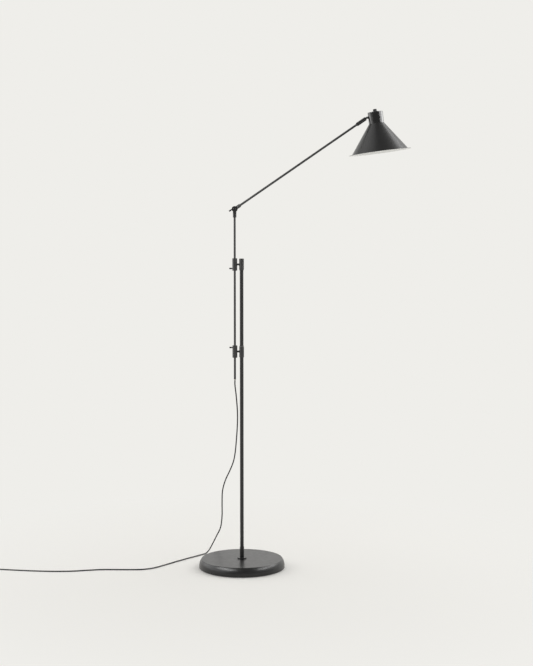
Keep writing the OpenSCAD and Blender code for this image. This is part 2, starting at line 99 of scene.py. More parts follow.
class Graph:
    """A material's node tree, with short calls to add and link its nodes."""

    def __init__(self, name: str) -> None:
        """Starts a material of that name with an empty tree."""
        self.material = bpy.data.materials.new(name)
        self.material.use_nodes = True
        self.tree = self.material.node_tree
        self.tree.nodes.clear()

    def add(self, kind: str, values: dict | None = None, **settings: object) -> bpy.types.Node:
        """Adds a node.

        Args:
            kind: the node's type, without the ShaderNode prefix.
            values: input sockets to set, or to link where the value is an output socket.
            **settings: properties of the node itself.

        Returns:
            The new node.
        """
        node = self.tree.nodes.new("ShaderNode" + kind)
        for key, value in settings.items():
            setattr(node, key, value)
        for key, value in (values or {}).items():
            socket = node.inputs[key]
            if isinstance(value, bpy.types.NodeSocket):
                self.tree.links.new(value, socket)
            else:
                socket.default_value = value
        return node

    def places(self, on_uv: bool, stretch: Sequence[float]) -> bpy.types.NodeSocket:
        """Coordinates that the patterns follow.

        Args:
            on_uv: whether they run on the piece's own UV map, and not on its object's axes.
            stretch: how much denser the pattern is along each axis.

        Returns:
            The output socket with the coordinates.
        """
        source = self.add("UVMap").outputs["UV"] if on_uv else self.add("TexCoord").outputs["Object"]
        return self.add("Mapping", {"Vector": source, "Scale": stretch}).outputs["Vector"]

    def noise(self, at: bpy.types.NodeSocket, size: float, detail: float = 4.0) -> bpy.types.NodeSocket:
        """Noise whose features measure about size metres, from 0 to 1."""
        values = {"Vector": at, "Scale": 1.0 / size, "Detail": detail}
        return self.add("TexNoise", values, noise_dimensions="3D").outputs[0]

    def remap(self, value: bpy.types.NodeSocket, source: Point, target: Point) -> bpy.types.NodeSocket:
        """The value moved from the source range to the target one, and held inside it."""
        values = {"Value": value, 1: source[0], 2: source[1], 3: target[0], 4: target[1]}
        return self.add("MapRange", values).outputs[0]

    def blend(self, share: bpy.types.NodeSocket, first: object, second: object) -> bpy.types.NodeSocket:
        """A colour that goes from the first to the second with share."""
        values = {0: share, 6: first, 7: second}
        return self.add("Mix", values, data_type="RGBA").outputs[2]

    def close(self, shader: bpy.types.Node) -> bpy.types.Material:
        """Links the shader to the output, and returns the finished material."""
        self.add("OutputMaterial", {"Surface": shader.outputs[0]})
        return self.material


@dataclass(frozen=True)
class Finish:
    """A surface finish: its colour and gloss, how both stray, its grain, and how its edges wear."""

    slot: str
    colour: Colour
    roughness: float
    metallic: float = 0.0
    ior: float = 1.5
    coat: float = 0.0
    coat_roughness: float = 0.1
    tone_shift: float = 0.25
    tone_size: float = 0.05
    rough_shift: float = 0.05
    rough_size: float = 0.012
    grain_size: float = 0.0006
    grain_height: float = 0.00001
    stretch: tuple[float, float, float] = (1.0, 1.0, 1.0)
    edge_reach: float = 0.0
    edge_colour: Colour = (0.3, 0.3, 0.3)
    edge_share: float = 0.3
    sheen: float = 0.0
    subsurface: float = 0.0
    on_uv: bool = False

    @cache
    def material(self) -> bpy.types.Material:
        """Builds the node material once, and returns the same one each time."""
        graph = Graph(self.slot + "_finish")
        at = graph.places(self.on_uv, self.stretch)
        tone = graph.noise(at, self.tone_size)
        colour = graph.blend(graph.remap(tone, NOISE_MIDDLE, (0.0, 1.0)), self._tone(-1), self._tone(1))
        spread = (self.roughness - self.rough_shift, self.roughness + self.rough_shift)
        roughness = graph.remap(graph.noise(at, self.rough_size, 6.0), NOISE_MIDDLE, spread)
        if self.edge_reach:
            worn = self._edges(graph, at)
            colour = graph.blend(worn, colour, (*self.edge_colour, 1.0))
        grain = graph.noise(at, self.grain_size, 3.0)
        relief = graph.add("Bump", {"Height": grain, "Strength": 1.0, "Distance": self.grain_height})
        shader = graph.add("BsdfPrincipled", {
            "Base Color": colour, "Roughness": roughness, "Metallic": self.metallic, "IOR": self.ior,
            "Coat Weight": self.coat, "Coat Roughness": self.coat_roughness,
            "Sheen Weight": self.sheen, "Subsurface Weight": self.subsurface,
            "Subsurface Radius": (0.004, 0.004, 0.004), "Normal": relief.outputs["Normal"],
        })
        return graph.close(shader)

    def _tone(self, side: int) -> tuple[float, float, float, float]:
        """The colour at the dark (-1) or the light (1) end of its range."""
        red, green, blue = (min(1.0, part * (1.0 + side * self.tone_shift)) for part in self.colour)
        return red, green, blue, 1.0

    def _edges(self, graph: Graph, at: bpy.types.NodeSocket) -> bpy.types.NodeSocket:
        """Share of wear, which is highest on sharp edges and broken up by noise."""
        soft = graph.add("Bevel", {"Radius": self.edge_reach}, samples=4)
        true = graph.add("NewGeometry")
        normals = {0: soft.outputs[0], 1: true.outputs["Normal"]}
        meet = graph.add("VectorMath", normals, operation="DOT_PRODUCT")
        turned = graph.remap(meet.outputs["Value"], WEAR_BEND, (0.0, self.edge_share))
        patches = graph.remap(graph.noise(at, WEAR_PATCH, 6.0), (0.38, 0.62), (0.1, 1.0))
        return graph.add("Math", {0: turned, 1: patches}, operation="MULTIPLY").outputs[0]


SATIN = Finish("satin_black", (0.011, 0.011, 0.0115), 0.32, rough_shift=0.03, grain_size=0.0012,
               grain_height=0.000003, edge_reach=0.0006, edge_colour=(0.05, 0.05, 0.052))
# Lit copy of the same satin black paint: its colour is raised over SATIN as painted light on the collars,
# barrels, rod, elbow eye and arm tube; its roughness and IOR also differ.
SATIN_TUBE_PAINTED_LIGHT = replace(SATIN, colour=(0.018, 0.018, 0.0185), roughness=0.36, ior=1.6)
GLOSS = Finish("gloss_black", (0.003, 0.003, 0.0034), 0.11, ior=1.6, rough_shift=0.03, coat=0.3,
               coat_roughness=0.04, grain_size=0.0035, grain_height=0.000008, edge_reach=0.0005,
               edge_colour=(0.03, 0.03, 0.032))
HARDWARE = Finish("black_hardware", (0.030, 0.030, 0.032), 0.32, metallic=0.60, tone_size=0.006,
                  rough_shift=0.07, rough_size=0.003, edge_reach=0.0004, edge_colour=(0.22, 0.21, 0.2),
                  edge_share=0.5)
ENAMEL = Finish("white_enamel", (0.80, 0.80, 0.785), 0.42, tone_shift=0.03, rough_shift=0.06,
                grain_size=0.0012, grain_height=0.00001)
PLASTIC = Finish("black_plastic", (0.012, 0.012, 0.0125), 0.46, tone_size=0.02, rough_shift=0.06,
                 grain_size=0.0004, grain_height=0.00001)
CAST = Finish("cast_weight", (0.10, 0.10, 0.104), 0.72, metallic=0.4, tone_shift=0.35, tone_size=0.015,
              rough_shift=0.12, grain_size=0.0015, grain_height=0.00025, edge_reach=0.001,
              edge_colour=(0.3, 0.29, 0.28), edge_share=0.5)
ZINC = Finish("zinc_steel", (0.56, 0.57, 0.59), 0.32, metallic=1.0, tone_shift=0.12, tone_size=0.006,
              rough_shift=0.1, rough_size=0.004, stretch=(1.0, 1.0, 0.25))
NYLON = Finish("nylon", (0.72, 0.70, 0.63), 0.45, tone_shift=0.05, tone_size=0.004, subsurface=0.25,
               grain_size=0.0005)
SHEATH = Finish("cord_sheath", (0.011, 0.011, 0.0115), 0.40, tone_size=0.03, rough_size=0.05,
                stretch=(60.0, 1.0, 1.0), grain_size=0.02, grain_height=0.00003, on_uv=True)
INNER_SHEATH = Finish("inner_sheath", (0.011, 0.011, 0.0115), 0.42, tone_size=0.01)
MOULDED = Finish("plug_plastic", (0.014, 0.014, 0.0145), 0.5, tone_size=0.02, rough_shift=0.08,
                 grain_size=0.0003, grain_height=0.00002)
PINS = Finish("pin_metal", (0.66, 0.60, 0.46), 0.22, metallic=1.0, tone_shift=0.08, tone_size=0.003,
              rough_shift=0.08, rough_size=0.002, stretch=(1.0, 0.3, 1.0))
OPAL = Finish("bulb_glass", (0.86, 0.86, 0.83), 0.12, tone_shift=0.02, tone_size=0.02, rough_shift=0.03,
              subsurface=0.6, coat=0.5, coat_roughness=0.03, grain_size=0.006)
FELT = Finish("felt", (0.022, 0.022, 0.025), 0.95, tone_shift=0.5, tone_size=0.0012, rough_shift=0.04,
              grain_size=0.0007, grain_height=0.0003, sheen=0.5)


# ---- mesh work


def rounded(corners: Sequence[Corner], steps: int = 5) -> list[Point]:
    """Closed outline with its corners filleted.

    Args:
        corners: each corner's two coordinates and its fillet radius.
        steps: pieces in each fillet's arc.

    Returns:
        The outline's points in order. Next to each arc stands a point that keeps the straight part flat.
    """
    points: list[Point] = []
    for index, (x, y, radius) in enumerate(corners):
        corner = Vector((x, y))
        if radius <= 0.0:
            points.append((x, y))
            continue
        back = Vector(corners[index - 1][:2]) - corner
        ahead = Vector(corners[(index + 1) % len(corners)][:2]) - corner
        half = back.angle(ahead) / 2
        reach = min(radius / math.tan(half), 0.35 * back.length, 0.35 * ahead.length)
        back.normalize()
        ahead.normalize()
        centre = corner + (back + ahead).normalized() * (reach / math.cos(half))
        start = corner + back * reach - centre
        end = corner + ahead * reach - centre
        sweep = math.atan2(start.cross(end), start.dot(end))
        points.append(tuple(corner + back * reach * 1.3))
        for step in range(steps + 1):
            points.append(tuple(centre + Matrix.Rotation(sweep * step / steps, 2) @ start))
        points.append(tuple(corner + ahead * reach * 1.3))
    return points


def arc(centre: Point, radius: float, start: float, end: float, steps: int) -> list[Corner]:
    """Corners on an arc, from one angle to another, in degrees."""
    angles = [math.radians(start + (end - start) * step / steps) for step in range(steps + 1)]
    return [(centre[0] + radius * math.cos(a), centre[1] + radius * math.sin(a), 0.0) for a in angles]


def rectangle(left: float, right: float, low: float, high: float) -> list[Point]:
    """Corners of a plain rectangle, in order."""
    return [(left, low), (right, low), (right, high), (left, high)]


def ring_outline(inner: float, outer: float, low: float, high: float, edge: float) -> list[Point]:
    """Outline of a plain ring, with all its edges rounded by edge."""
    inside = min(edge, 0.0002)
    return rounded([(inner, low, inside), (outer, low, edge), (outer, high, edge), (inner, high, inside)])


class Shape:
    """Closed shells gathered in one mesh, each with the number of its finish."""

    def __init__(self) -> None:
        """Starts with no shell."""
        self.mesh = bmesh.new()

    def turned(self, outline: Sequence[Point], place: Matrix = HERE, sides: int = 96,
               finish: int = 0) -> "Shape":
        """Adds a shell turned about local Z.

        Args:
            outline: its half section, as radius and height, from the axis or round a closed ring.
            place: where the shell's own frame stands.
            sides: facets round the axis.
            finish: the number of its finish.

        Returns:
            This shape.
        """
        angles = [2 * math.pi * side / sides for side in range(sides)]
        rings = []
        for radius, height in outline:
            around = angles if radius > AXIS_REACH else [0.0]
            spots = [Vector((radius * math.cos(a), radius * math.sin(a), height)) for a in around]
            rings.append([self.mesh.verts.new(place @ spot) for spot in spots])
        for ring, above in zip(rings, rings[1:] + rings[:1]):
            if len(ring) == 1 and len(above) == 1:
                continue
            for side in range(sides):
                after = (side + 1) % sides
                corners = [ring[side % len(ring)], ring[after % len(ring)],
                           above[after % len(above)], above[side % len(above)]]
                self.mesh.faces.new(list(dict.fromkeys(corners))).material_index = finish
        return self

    def slab(self, outline: Sequence[Point], low: float, high: float, place: Matrix = HERE,
             finish: int = 0) -> "Shape":
        """Adds a plate whose outline lies in local X and Z, between two places on local Y."""
        near = [self.mesh.verts.new(place @ Vector((x, low, z))) for x, z in outline]
        far = [self.mesh.verts.new(place @ Vector((x, high, z))) for x, z in outline]
        faces = [near, far[::-1]]
        for index in range(len(outline)):
            after = (index + 1) % len(outline)
            faces.append([near[index], far[index], far[after], near[after]])
        for corners in faces:
            self.mesh.faces.new(corners).material_index = finish
        return self

    def copied(self, mesh: bpy.types.Mesh, place: Matrix = HERE, finish: int = 0) -> "Shape":
        """Adds a mesh's shells, moved by place, and removes the mesh."""
        mesh.transform(place)
        known = len(self.mesh.faces)
        self.mesh.from_mesh(mesh)
        self.mesh.faces.ensure_lookup_table()
        for face in self.mesh.faces[known:]:
            face.material_index = finish
        bpy.data.meshes.remove(mesh)
        return self

    def softened(self, radius: float, steps: int = 3, over: float = 35.0) -> "Shape":
        """Rounds every edge that turns by more than over degrees."""
        bmesh.ops.remove_doubles(self.mesh, verts=self.mesh.verts, dist=1e-6)
        bmesh.ops.dissolve_limit(self.mesh, angle_limit=math.radians(1.0), verts=self.mesh.verts,
                                 edges=self.mesh.edges)
        sharp = [e for e in self.mesh.edges if e.calc_face_angle(0.0) > math.radians(over)]
        bmesh.ops.bevel(self.mesh, geom=sharp, offset=radius, segments=steps, profile=0.5, affect="EDGES",
                        clamp_overlap=True)
        return self

    def loose(self, name: str) -> bpy.types.Object:
        """A plain object with this mesh, linked to the scene so that modifiers can use it."""
        bmesh.ops.recalc_face_normals(self.mesh, faces=self.mesh.faces)
        mesh = bpy.data.meshes.new(name)
        self.mesh.to_mesh(mesh)
        self.mesh.free()
        thing = bpy.data.objects.new(name, mesh)
        bpy.context.collection.objects.link(thing)
        return thing

    def piece(self, name: str, body: str, *finishes: Finish,
              replaces: Iterable[str] = ()) -> bpy.types.Object:
        """Finishes the mesh as a piece of the lamp.

        Args:
            name: the piece's name.
            body: the moving body that it rides on.
            *finishes: its finishes, whose materials fill its material slots in order.
            replaces: the frame's nodes that it stands for.

        Returns:
            The piece's object, at the origin.
        """
        thing = self.loose(name)
        thing.data.polygons.foreach_set("use_smooth", [True] * len(thing.data.polygons))
        thing.data.set_sharp_from_angle(angle=math.radians(CREASE))
        for finish in finishes:
            thing.data.materials.append(finish.material())
        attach(thing, body)
        nodes = list(replaces)
        if nodes:
            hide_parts(*nodes)
        log.info("piece %s rides on %s, %d faces", name, body, len(thing.data.polygons))
        return thing


def evaluated(thing: bpy.types.Object) -> bpy.types.Mesh:
    """The mesh that an object's modifiers make, with the object and its own mesh removed."""
    graph = bpy.context.evaluated_depsgraph_get()
    result = bpy.data.meshes.new_from_object(thing.evaluated_get(graph))
    own = thing.data
    bpy.data.objects.remove(thing)
    if own.users == 0:
        bpy.data.meshes.remove(own)
    return result


def fused(parts: Sequence[Shape], cuts: Sequence[Shape] = ()) -> Shape:
    """One shell of several parts.

    Args:
        parts: closed shapes that are joined.
        cuts: closed shapes that are taken away from them afterwards.

    Returns:
        The shape that is left.
    """
    whole = parts[0].loose("whole")
    tools = [(part.loose("part"), "UNION") for part in parts[1:]]
    tools += [(cut.loose("cut"), "DIFFERENCE") for cut in cuts]
    for tool, operation in tools:
        step = whole.modifiers.new(operation.lower(), "BOOLEAN")
        step.operation = operation
        step.solver = "EXACT"
        step.object = tool
    mesh = evaluated(whole)
    for tool, _ in tools:
        own = tool.data
        bpy.data.objects.remove(tool)
        bpy.data.meshes.remove(own)
    return Shape().copied(mesh)


class Pattern:
    """Geometry Nodes trees for what repeats round an axis or winds along it."""

    def __init__(self, name: str, sockets: dict[str, str]) -> None:
        """Starts a tree.

        Args:
            name: the tree's name.
            sockets: its inputs' names and socket kinds.
        """
        self.tree = bpy.data.node_groups.new(name, "GeometryNodeTree")
        face = self.tree.interface
        face.new_socket("Geometry", in_out="INPUT", socket_type="NodeSocketGeometry")
        self.keys = {
            key: face.new_socket(key, in_out="INPUT", socket_type="NodeSocket" + kind).identifier
            for key, kind in sockets.items()
        }
        face.new_socket("Geometry", in_out="OUTPUT", socket_type="NodeSocketGeometry")
        self.given = self.tree.nodes.new("NodeGroupInput").outputs

    def add(self, kind: str, values: dict, **settings: object) -> bpy.types.NodeOutputs:
        """Adds a node with its inputs set or linked, and returns its outputs."""
        node = self.tree.nodes.new(kind)
        for key, value in settings.items():
            setattr(node, key, value)
        for key, value in values.items():
            if isinstance(value, bpy.types.NodeSocket):
                self.tree.links.new(value, node.inputs[key])
            else:
                node.inputs[key].default_value = value
        return node.outputs

    def end(self, made: bpy.types.NodeSocket) -> "Pattern":
        """Realizes what was made, gives it the Material input, and ends the tree."""
        real = self.add("GeometryNodeRealizeInstances", {"Geometry": made})["Geometry"]
        dressed = self.add("GeometryNodeSetMaterial", {"Geometry": real, "Material": self.given["Material"]})
        self.add("NodeGroupOutput", {"Geometry": dressed["Geometry"]})
        return self

    def applied(self, shape: Shape, finish: Finish, **values: float) -> bpy.types.Mesh:
        """Runs the tree on a shape.

        Args:
            shape: the geometry that goes in.
            finish: the finish that the tree sets.
            **values: the tree's other inputs, by name.

        Returns:
            The plain mesh that comes out.
        """
        thing = shape.loose(self.tree.name)
        step = thing.modifiers.new(self.tree.name, "NODES")
        step.node_group = self.tree
        step[self.keys["Material"]] = finish.material()
        for key, value in values.items():
            step[self.keys[key]] = value
        return evaluated(thing)


@cache
def round_axis() -> Pattern:
    """Tree that repeats its geometry Count times round local Z."""
    tree = Pattern("round_axis", {"Count": "Int", "Material": "Material"})
    points = tree.add("GeometryNodePoints", {"Count": tree.given["Count"]})["Points"]
    index = tree.add("GeometryNodeInputIndex", {})["Index"]
    part = tree.add("ShaderNodeMath", {0: 2 * math.pi, 1: tree.given["Count"]}, operation="DIVIDE")["Value"]
    angle = tree.add("ShaderNodeMath", {0: index, 1: part}, operation="MULTIPLY")["Value"]
    turn = tree.add("ShaderNodeCombineXYZ", {"Z": angle})["Vector"]
    values = {"Points": points, "Instance": tree.given["Geometry"], "Rotation": turn}
    return tree.end(tree.add("GeometryNodeInstanceOnPoints", values)["Instances"])


@cache
def screw_thread() -> Pattern:
    """Tree that winds a round ridge up local Z: Turns of it, Radius out, over Height, Ridge thick."""
    sockets = {key: "Float" for key in ("Turns", "Radius", "Height", "Ridge")} | {"Material": "Material"}
    tree = Pattern("screw_thread", sockets)
    spiral = tree.add("GeometryNodeCurveSpiral", {
        "Resolution": 40, "Rotations": tree.given["Turns"], "Start Radius": tree.given["Radius"],
        "End Radius": tree.given["Radius"], "Height": tree.given["Height"],
    })["Curve"]
    section = tree.add("GeometryNodeCurvePrimitiveCircle", {"Resolution": 8, "Radius": tree.given["Ridge"]})
    values = {"Curve": spiral, "Profile Curve": section["Curve"], "Fill Caps": True}
    return tree.end(tree.add("GeometryNodeCurveToMesh", values)["Mesh"])


def ribs(radius: float, low: float, high: float, width: float, count: int, finish: Finish) -> bpy.types.Mesh:
    """Round-backed ribs along local Z, repeated round it.

    Args:
        radius: how far out each rib's middle stands.
        low: the ribs' lower end.
        high: the ribs' upper end.
        width: a rib's diameter.
        count: how many there are.
        finish: their finish.

    Returns:
        The ribs' mesh.
    """
    half = width / 2
    section = [(0.0, low), (half * 0.6, low), (half, low + half * 0.6), (half, high - half * 0.6),
               (half * 0.6, high), (0.0, high)]
    rib = Shape().turned(section, Matrix.Translation((radius, 0.0, 0.0)), sides=8)
    return round_axis().applied(rib, finish, Count=count)


def dress(finish: Finish, *nodes: str) -> None:
    """Gives the frame's own nodes a finish, where their shape is already right."""
    for node in nodes:
        for slot in frame["nodes"][node].material_slots:
            slot.material = finish.material()
        log.info("node %s wears %s", node, finish.slot)


# ---- layout


@dataclass(frozen=True)
class Layout:
    """Where the lamp's own axes stand: the rod, the elbow, the arm and the head."""

    neck_gap: float = 0.0044

    @staticmethod
    def joint(name: str) -> dict:
        """The frame's joint of that name."""
        return next(joint for joint in frame["joints"] if joint["name"] == name)

    @property
    def elbow(self) -> Vector:
        """The elbow's axis, where the arm's line crosses it."""
        return Vector(self.joint("elbow_tilt")["pos_m"])

    @property
    def hinge(self) -> Vector:
        """The hinge between arm and head."""
        return Vector(self.joint("head_tilt")["pos_m"])

    @property
    def arm_length(self) -> float:
        """Distance from the elbow to the head's hinge."""
        return (self.hinge - self.elbow).length

    def on_rod(self, height: float) -> Matrix:
        """Frame on the rod's axis at that height."""
        return Matrix.Translation((self.elbow.x, 0.0, height))

    def at_elbow(self) -> Matrix:
        """Upright frame in the elbow's axis."""
        return Matrix.Translation(self.elbow)

    def on_arm(self) -> Matrix:
        """Frame in the elbow's axis with its X along the arm."""
        along = self.hinge - self.elbow
        return self.at_elbow() @ Matrix.Rotation(-math.atan2(along.z, along.x), 4, "Y")

    def in_head(self) -> Matrix:
        """Frame on the head's axis at the hinge's height, with its Z up that axis."""
        up = Vector(self.joint("knob_turn")["axis"])
        turn = Matrix.Rotation(math.atan2(up.x, up.z), 4, "Y")
        inwards = Matrix.Translation((Head.neck_radius + self.neck_gap, 0, 0))
        return Matrix.Translation(self.hinge) @ turn @ inwards


LAYOUT = Layout()


def low(node: str) -> Vector:
    """Lowest corner of a node's box."""
    return Vector(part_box(node)[0])


def high(node: str) -> Vector:
    """Highest corner of a node's box."""
    return Vector(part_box(node)[1])


def span(node: str) -> tuple[float, float]:
    """Lowest and highest Z of a node's box."""
    return low(node).z, high(node).z


def turned_piece(name: str, body: str, finish: Finish, node: str, outline: Sequence[Point],
                 place: Matrix = HERE, sides: int = 96) -> bpy.types.Object:
    """Makes a piece of one turned shell.

    Args:
        name: the piece's name.
        body: the moving body that it rides on.
        finish: its finish.
        node: the frame's node that it stands for.
        outline: its half section.
        place: where the section's own frame stands.
        sides: facets round the axis.

    Returns:
        The piece's object.
    """
    return Shape().turned(outline, place, sides=sides).piece(name, body, finish, replaces=[node])


# ---- studio


@dataclass
class Softbox:
    """A soft rectangular light that points at the lamp."""

    name: str
    at: tuple[float, float, float]
    aim: tuple[float, float, float]
    size: tuple[float, float]
    watts: float
    seen_only: bool = False

    def build(self) -> None:
        """Makes the light and turns it towards its aim; a seen_only one shows just in reflections."""
        light = bpy.data.lights.new(self.name, "AREA")
        light.shape = "RECTANGLE"
        light.size, light.size_y = self.size
        light.energy = self.watts
        lamp = bpy.data.objects.new(self.name, light)
        lamp.location = self.at
        lamp.visible_camera = False
        lamp.visible_diffuse = not self.seen_only
        lamp.rotation_euler = (Vector(self.aim) - Vector(self.at)).to_track_quat("-Z", "Y").to_euler()
        bpy.context.collection.objects.link(lamp)


@dataclass
class Studio:
    """Pale studio: the camera, the floor, the surroundings and the softboxes."""

    camera_at: tuple[float, float, float] = (0.0805, -4.521, 1.121)
    pitch: float = -4.425
    lens: float = 75.68
    backdrop: Colour = (0.863, 0.855, 0.823)
    floor_glow: float = 0.11
    floor_albedo: Colour = (0.815, 0.808, 0.785)
    floor_reach: float = 30.0
    near_reach: tuple[float, float] = (0.3, 1.2)
    sky: float = 0.98
    room: float = 0.28
    sky_reach: tuple[float, float] = (-0.45, 0.35)
    boxes: tuple[Softbox, ...] = (
        Softbox("key_softbox", (2.75, 0.8, 2.75), (0.43, 0.0, 1.42), (2.2, 2.4), 41.0),
        Softbox("side_softbox", (2.85, 0.25, 1.78), (0.43, 0.0, 1.42), (2.8, 0.9), 21.0, seen_only=True),
        Softbox("fill_softbox", (-3.0, 0.9, 1.6), (0.0, 0.0, 1.15), (2.4, 2.0), 23.0),
        Softbox("low_left_softbox", (-3.1, -1.3, 0.8), (0.0, 0.0, 0.95), (2.8, 0.8), 11.0, seen_only=True),
        Softbox("overhead_softbox", (-1.1, 0.1, 3.6), (0.0, 0.0, 0.8), (1.8, 1.6), 5.0),
        Softbox("front_left_softbox", (-3.15, -2.75, 3.2), (0.0, 0.0, 0.2), (4.0, 1.3), 175.0,
                seen_only=True),
        Softbox("front_right_softbox", (3.55, -1.75, 2.6), (0.0, 0.0, 0.1), (1.7, 0.9), 54.0,
                seen_only=True),
    )

    def build(self) -> None:
        """Makes the whole studio."""
        self._camera()
        self._floor()
        self._surroundings()
        for box in self.boxes:
            box.build()
        bpy.context.scene.view_settings.view_transform = "Standard"

    def _camera(self) -> None:
        """The camera, level from side to side."""
        lens = bpy.data.cameras.new("camera")
        lens.lens = self.lens
        lens.sensor_width = 36.0
        lens.clip_end = 100.0
        camera = bpy.data.objects.new("camera", lens)
        camera.location = self.camera_at
        camera.rotation_euler = (math.radians(90.0 + self.pitch), 0.0, 0.0)
        bpy.context.collection.objects.link(camera)
        bpy.context.scene.camera = camera

    def _floor(self) -> None:
        """A plain disc that takes soft shadows near the lamp and fades into the backdrop further out."""
        graph = Graph("floor_paper")
        at = graph.add("TexCoord").outputs["Object"]
        away = graph.add("VectorMath", {0: at}, operation="LENGTH").outputs["Value"]
        near = graph.remap(away, self.near_reach, (1.0, 0.0))
        paper = graph.add("BsdfDiffuse", {"Color": (*self.floor_albedo, 1.0)})
        lit = graph.add("Emission", {"Color": (*self.backdrop, 1.0), "Strength": self.floor_glow})
        both = graph.add("AddShader", {0: paper.outputs[0], 1: lit.outputs[0]})
        far = graph.add("Emission", {"Color": (*self.backdrop, 1.0), "Strength": 1.0})
        mixed = graph.add("MixShader", {0: near, 1: far.outputs[0], 2: both.outputs[0]})
        mesh = bmesh.new()
        bmesh.ops.create_circle(mesh, cap_ends=True, segments=128, radius=self.floor_reach)
        data = bpy.data.meshes.new("floor")
        mesh.to_mesh(data)
        mesh.free()
        data.materials.append(graph.close(mixed))
        floor = bpy.data.objects.new("floor", data)
        bpy.context.collection.objects.link(floor)

    def _surroundings(self) -> None:
        """Light from all round: pale behind the lamp, dim in front, and the backdrop where seen."""
        world = bpy.data.worlds.new("studio")
        bpy.context.scene.world = world
        world.use_nodes = True
        tree = world.node_tree
        tree.nodes.clear()
        toward = tree.nodes.new("ShaderNodeTexCoord")
        split = tree.nodes.new("ShaderNodeSeparateXYZ")
        share = tree.nodes.new("ShaderNodeMapRange")
        share.interpolation_type = "SMOOTHSTEP"
        around = tree.nodes.new("ShaderNodeBackground")
        seen = tree.nodes.new("ShaderNodeBackground")
        path = tree.nodes.new("ShaderNodeLightPath")
        mix = tree.nodes.new("ShaderNodeMixShader")
        out = tree.nodes.new("ShaderNodeOutputWorld")
        for index, value in enumerate((*self.sky_reach, self.room, self.sky), start=1):
            share.inputs[index].default_value = value
        around.inputs["Color"].default_value = (1.0, 0.99, 0.965, 1.0)
        seen.inputs["Color"].default_value = (*self.backdrop, 1.0)
        for source, target in (
            (toward.outputs["Generated"], split.inputs[0]), (split.outputs["Y"], share.inputs["Value"]),
            (share.outputs[0], around.inputs["Strength"]), (path.outputs["Is Camera Ray"], mix.inputs[0]),
            (around.outputs[0], mix.inputs[1]), (seen.outputs[0], mix.inputs[2]),
            (mix.outputs[0], out.inputs[0]),
        ):
            tree.links.new(source, target)


# ---- mains lead


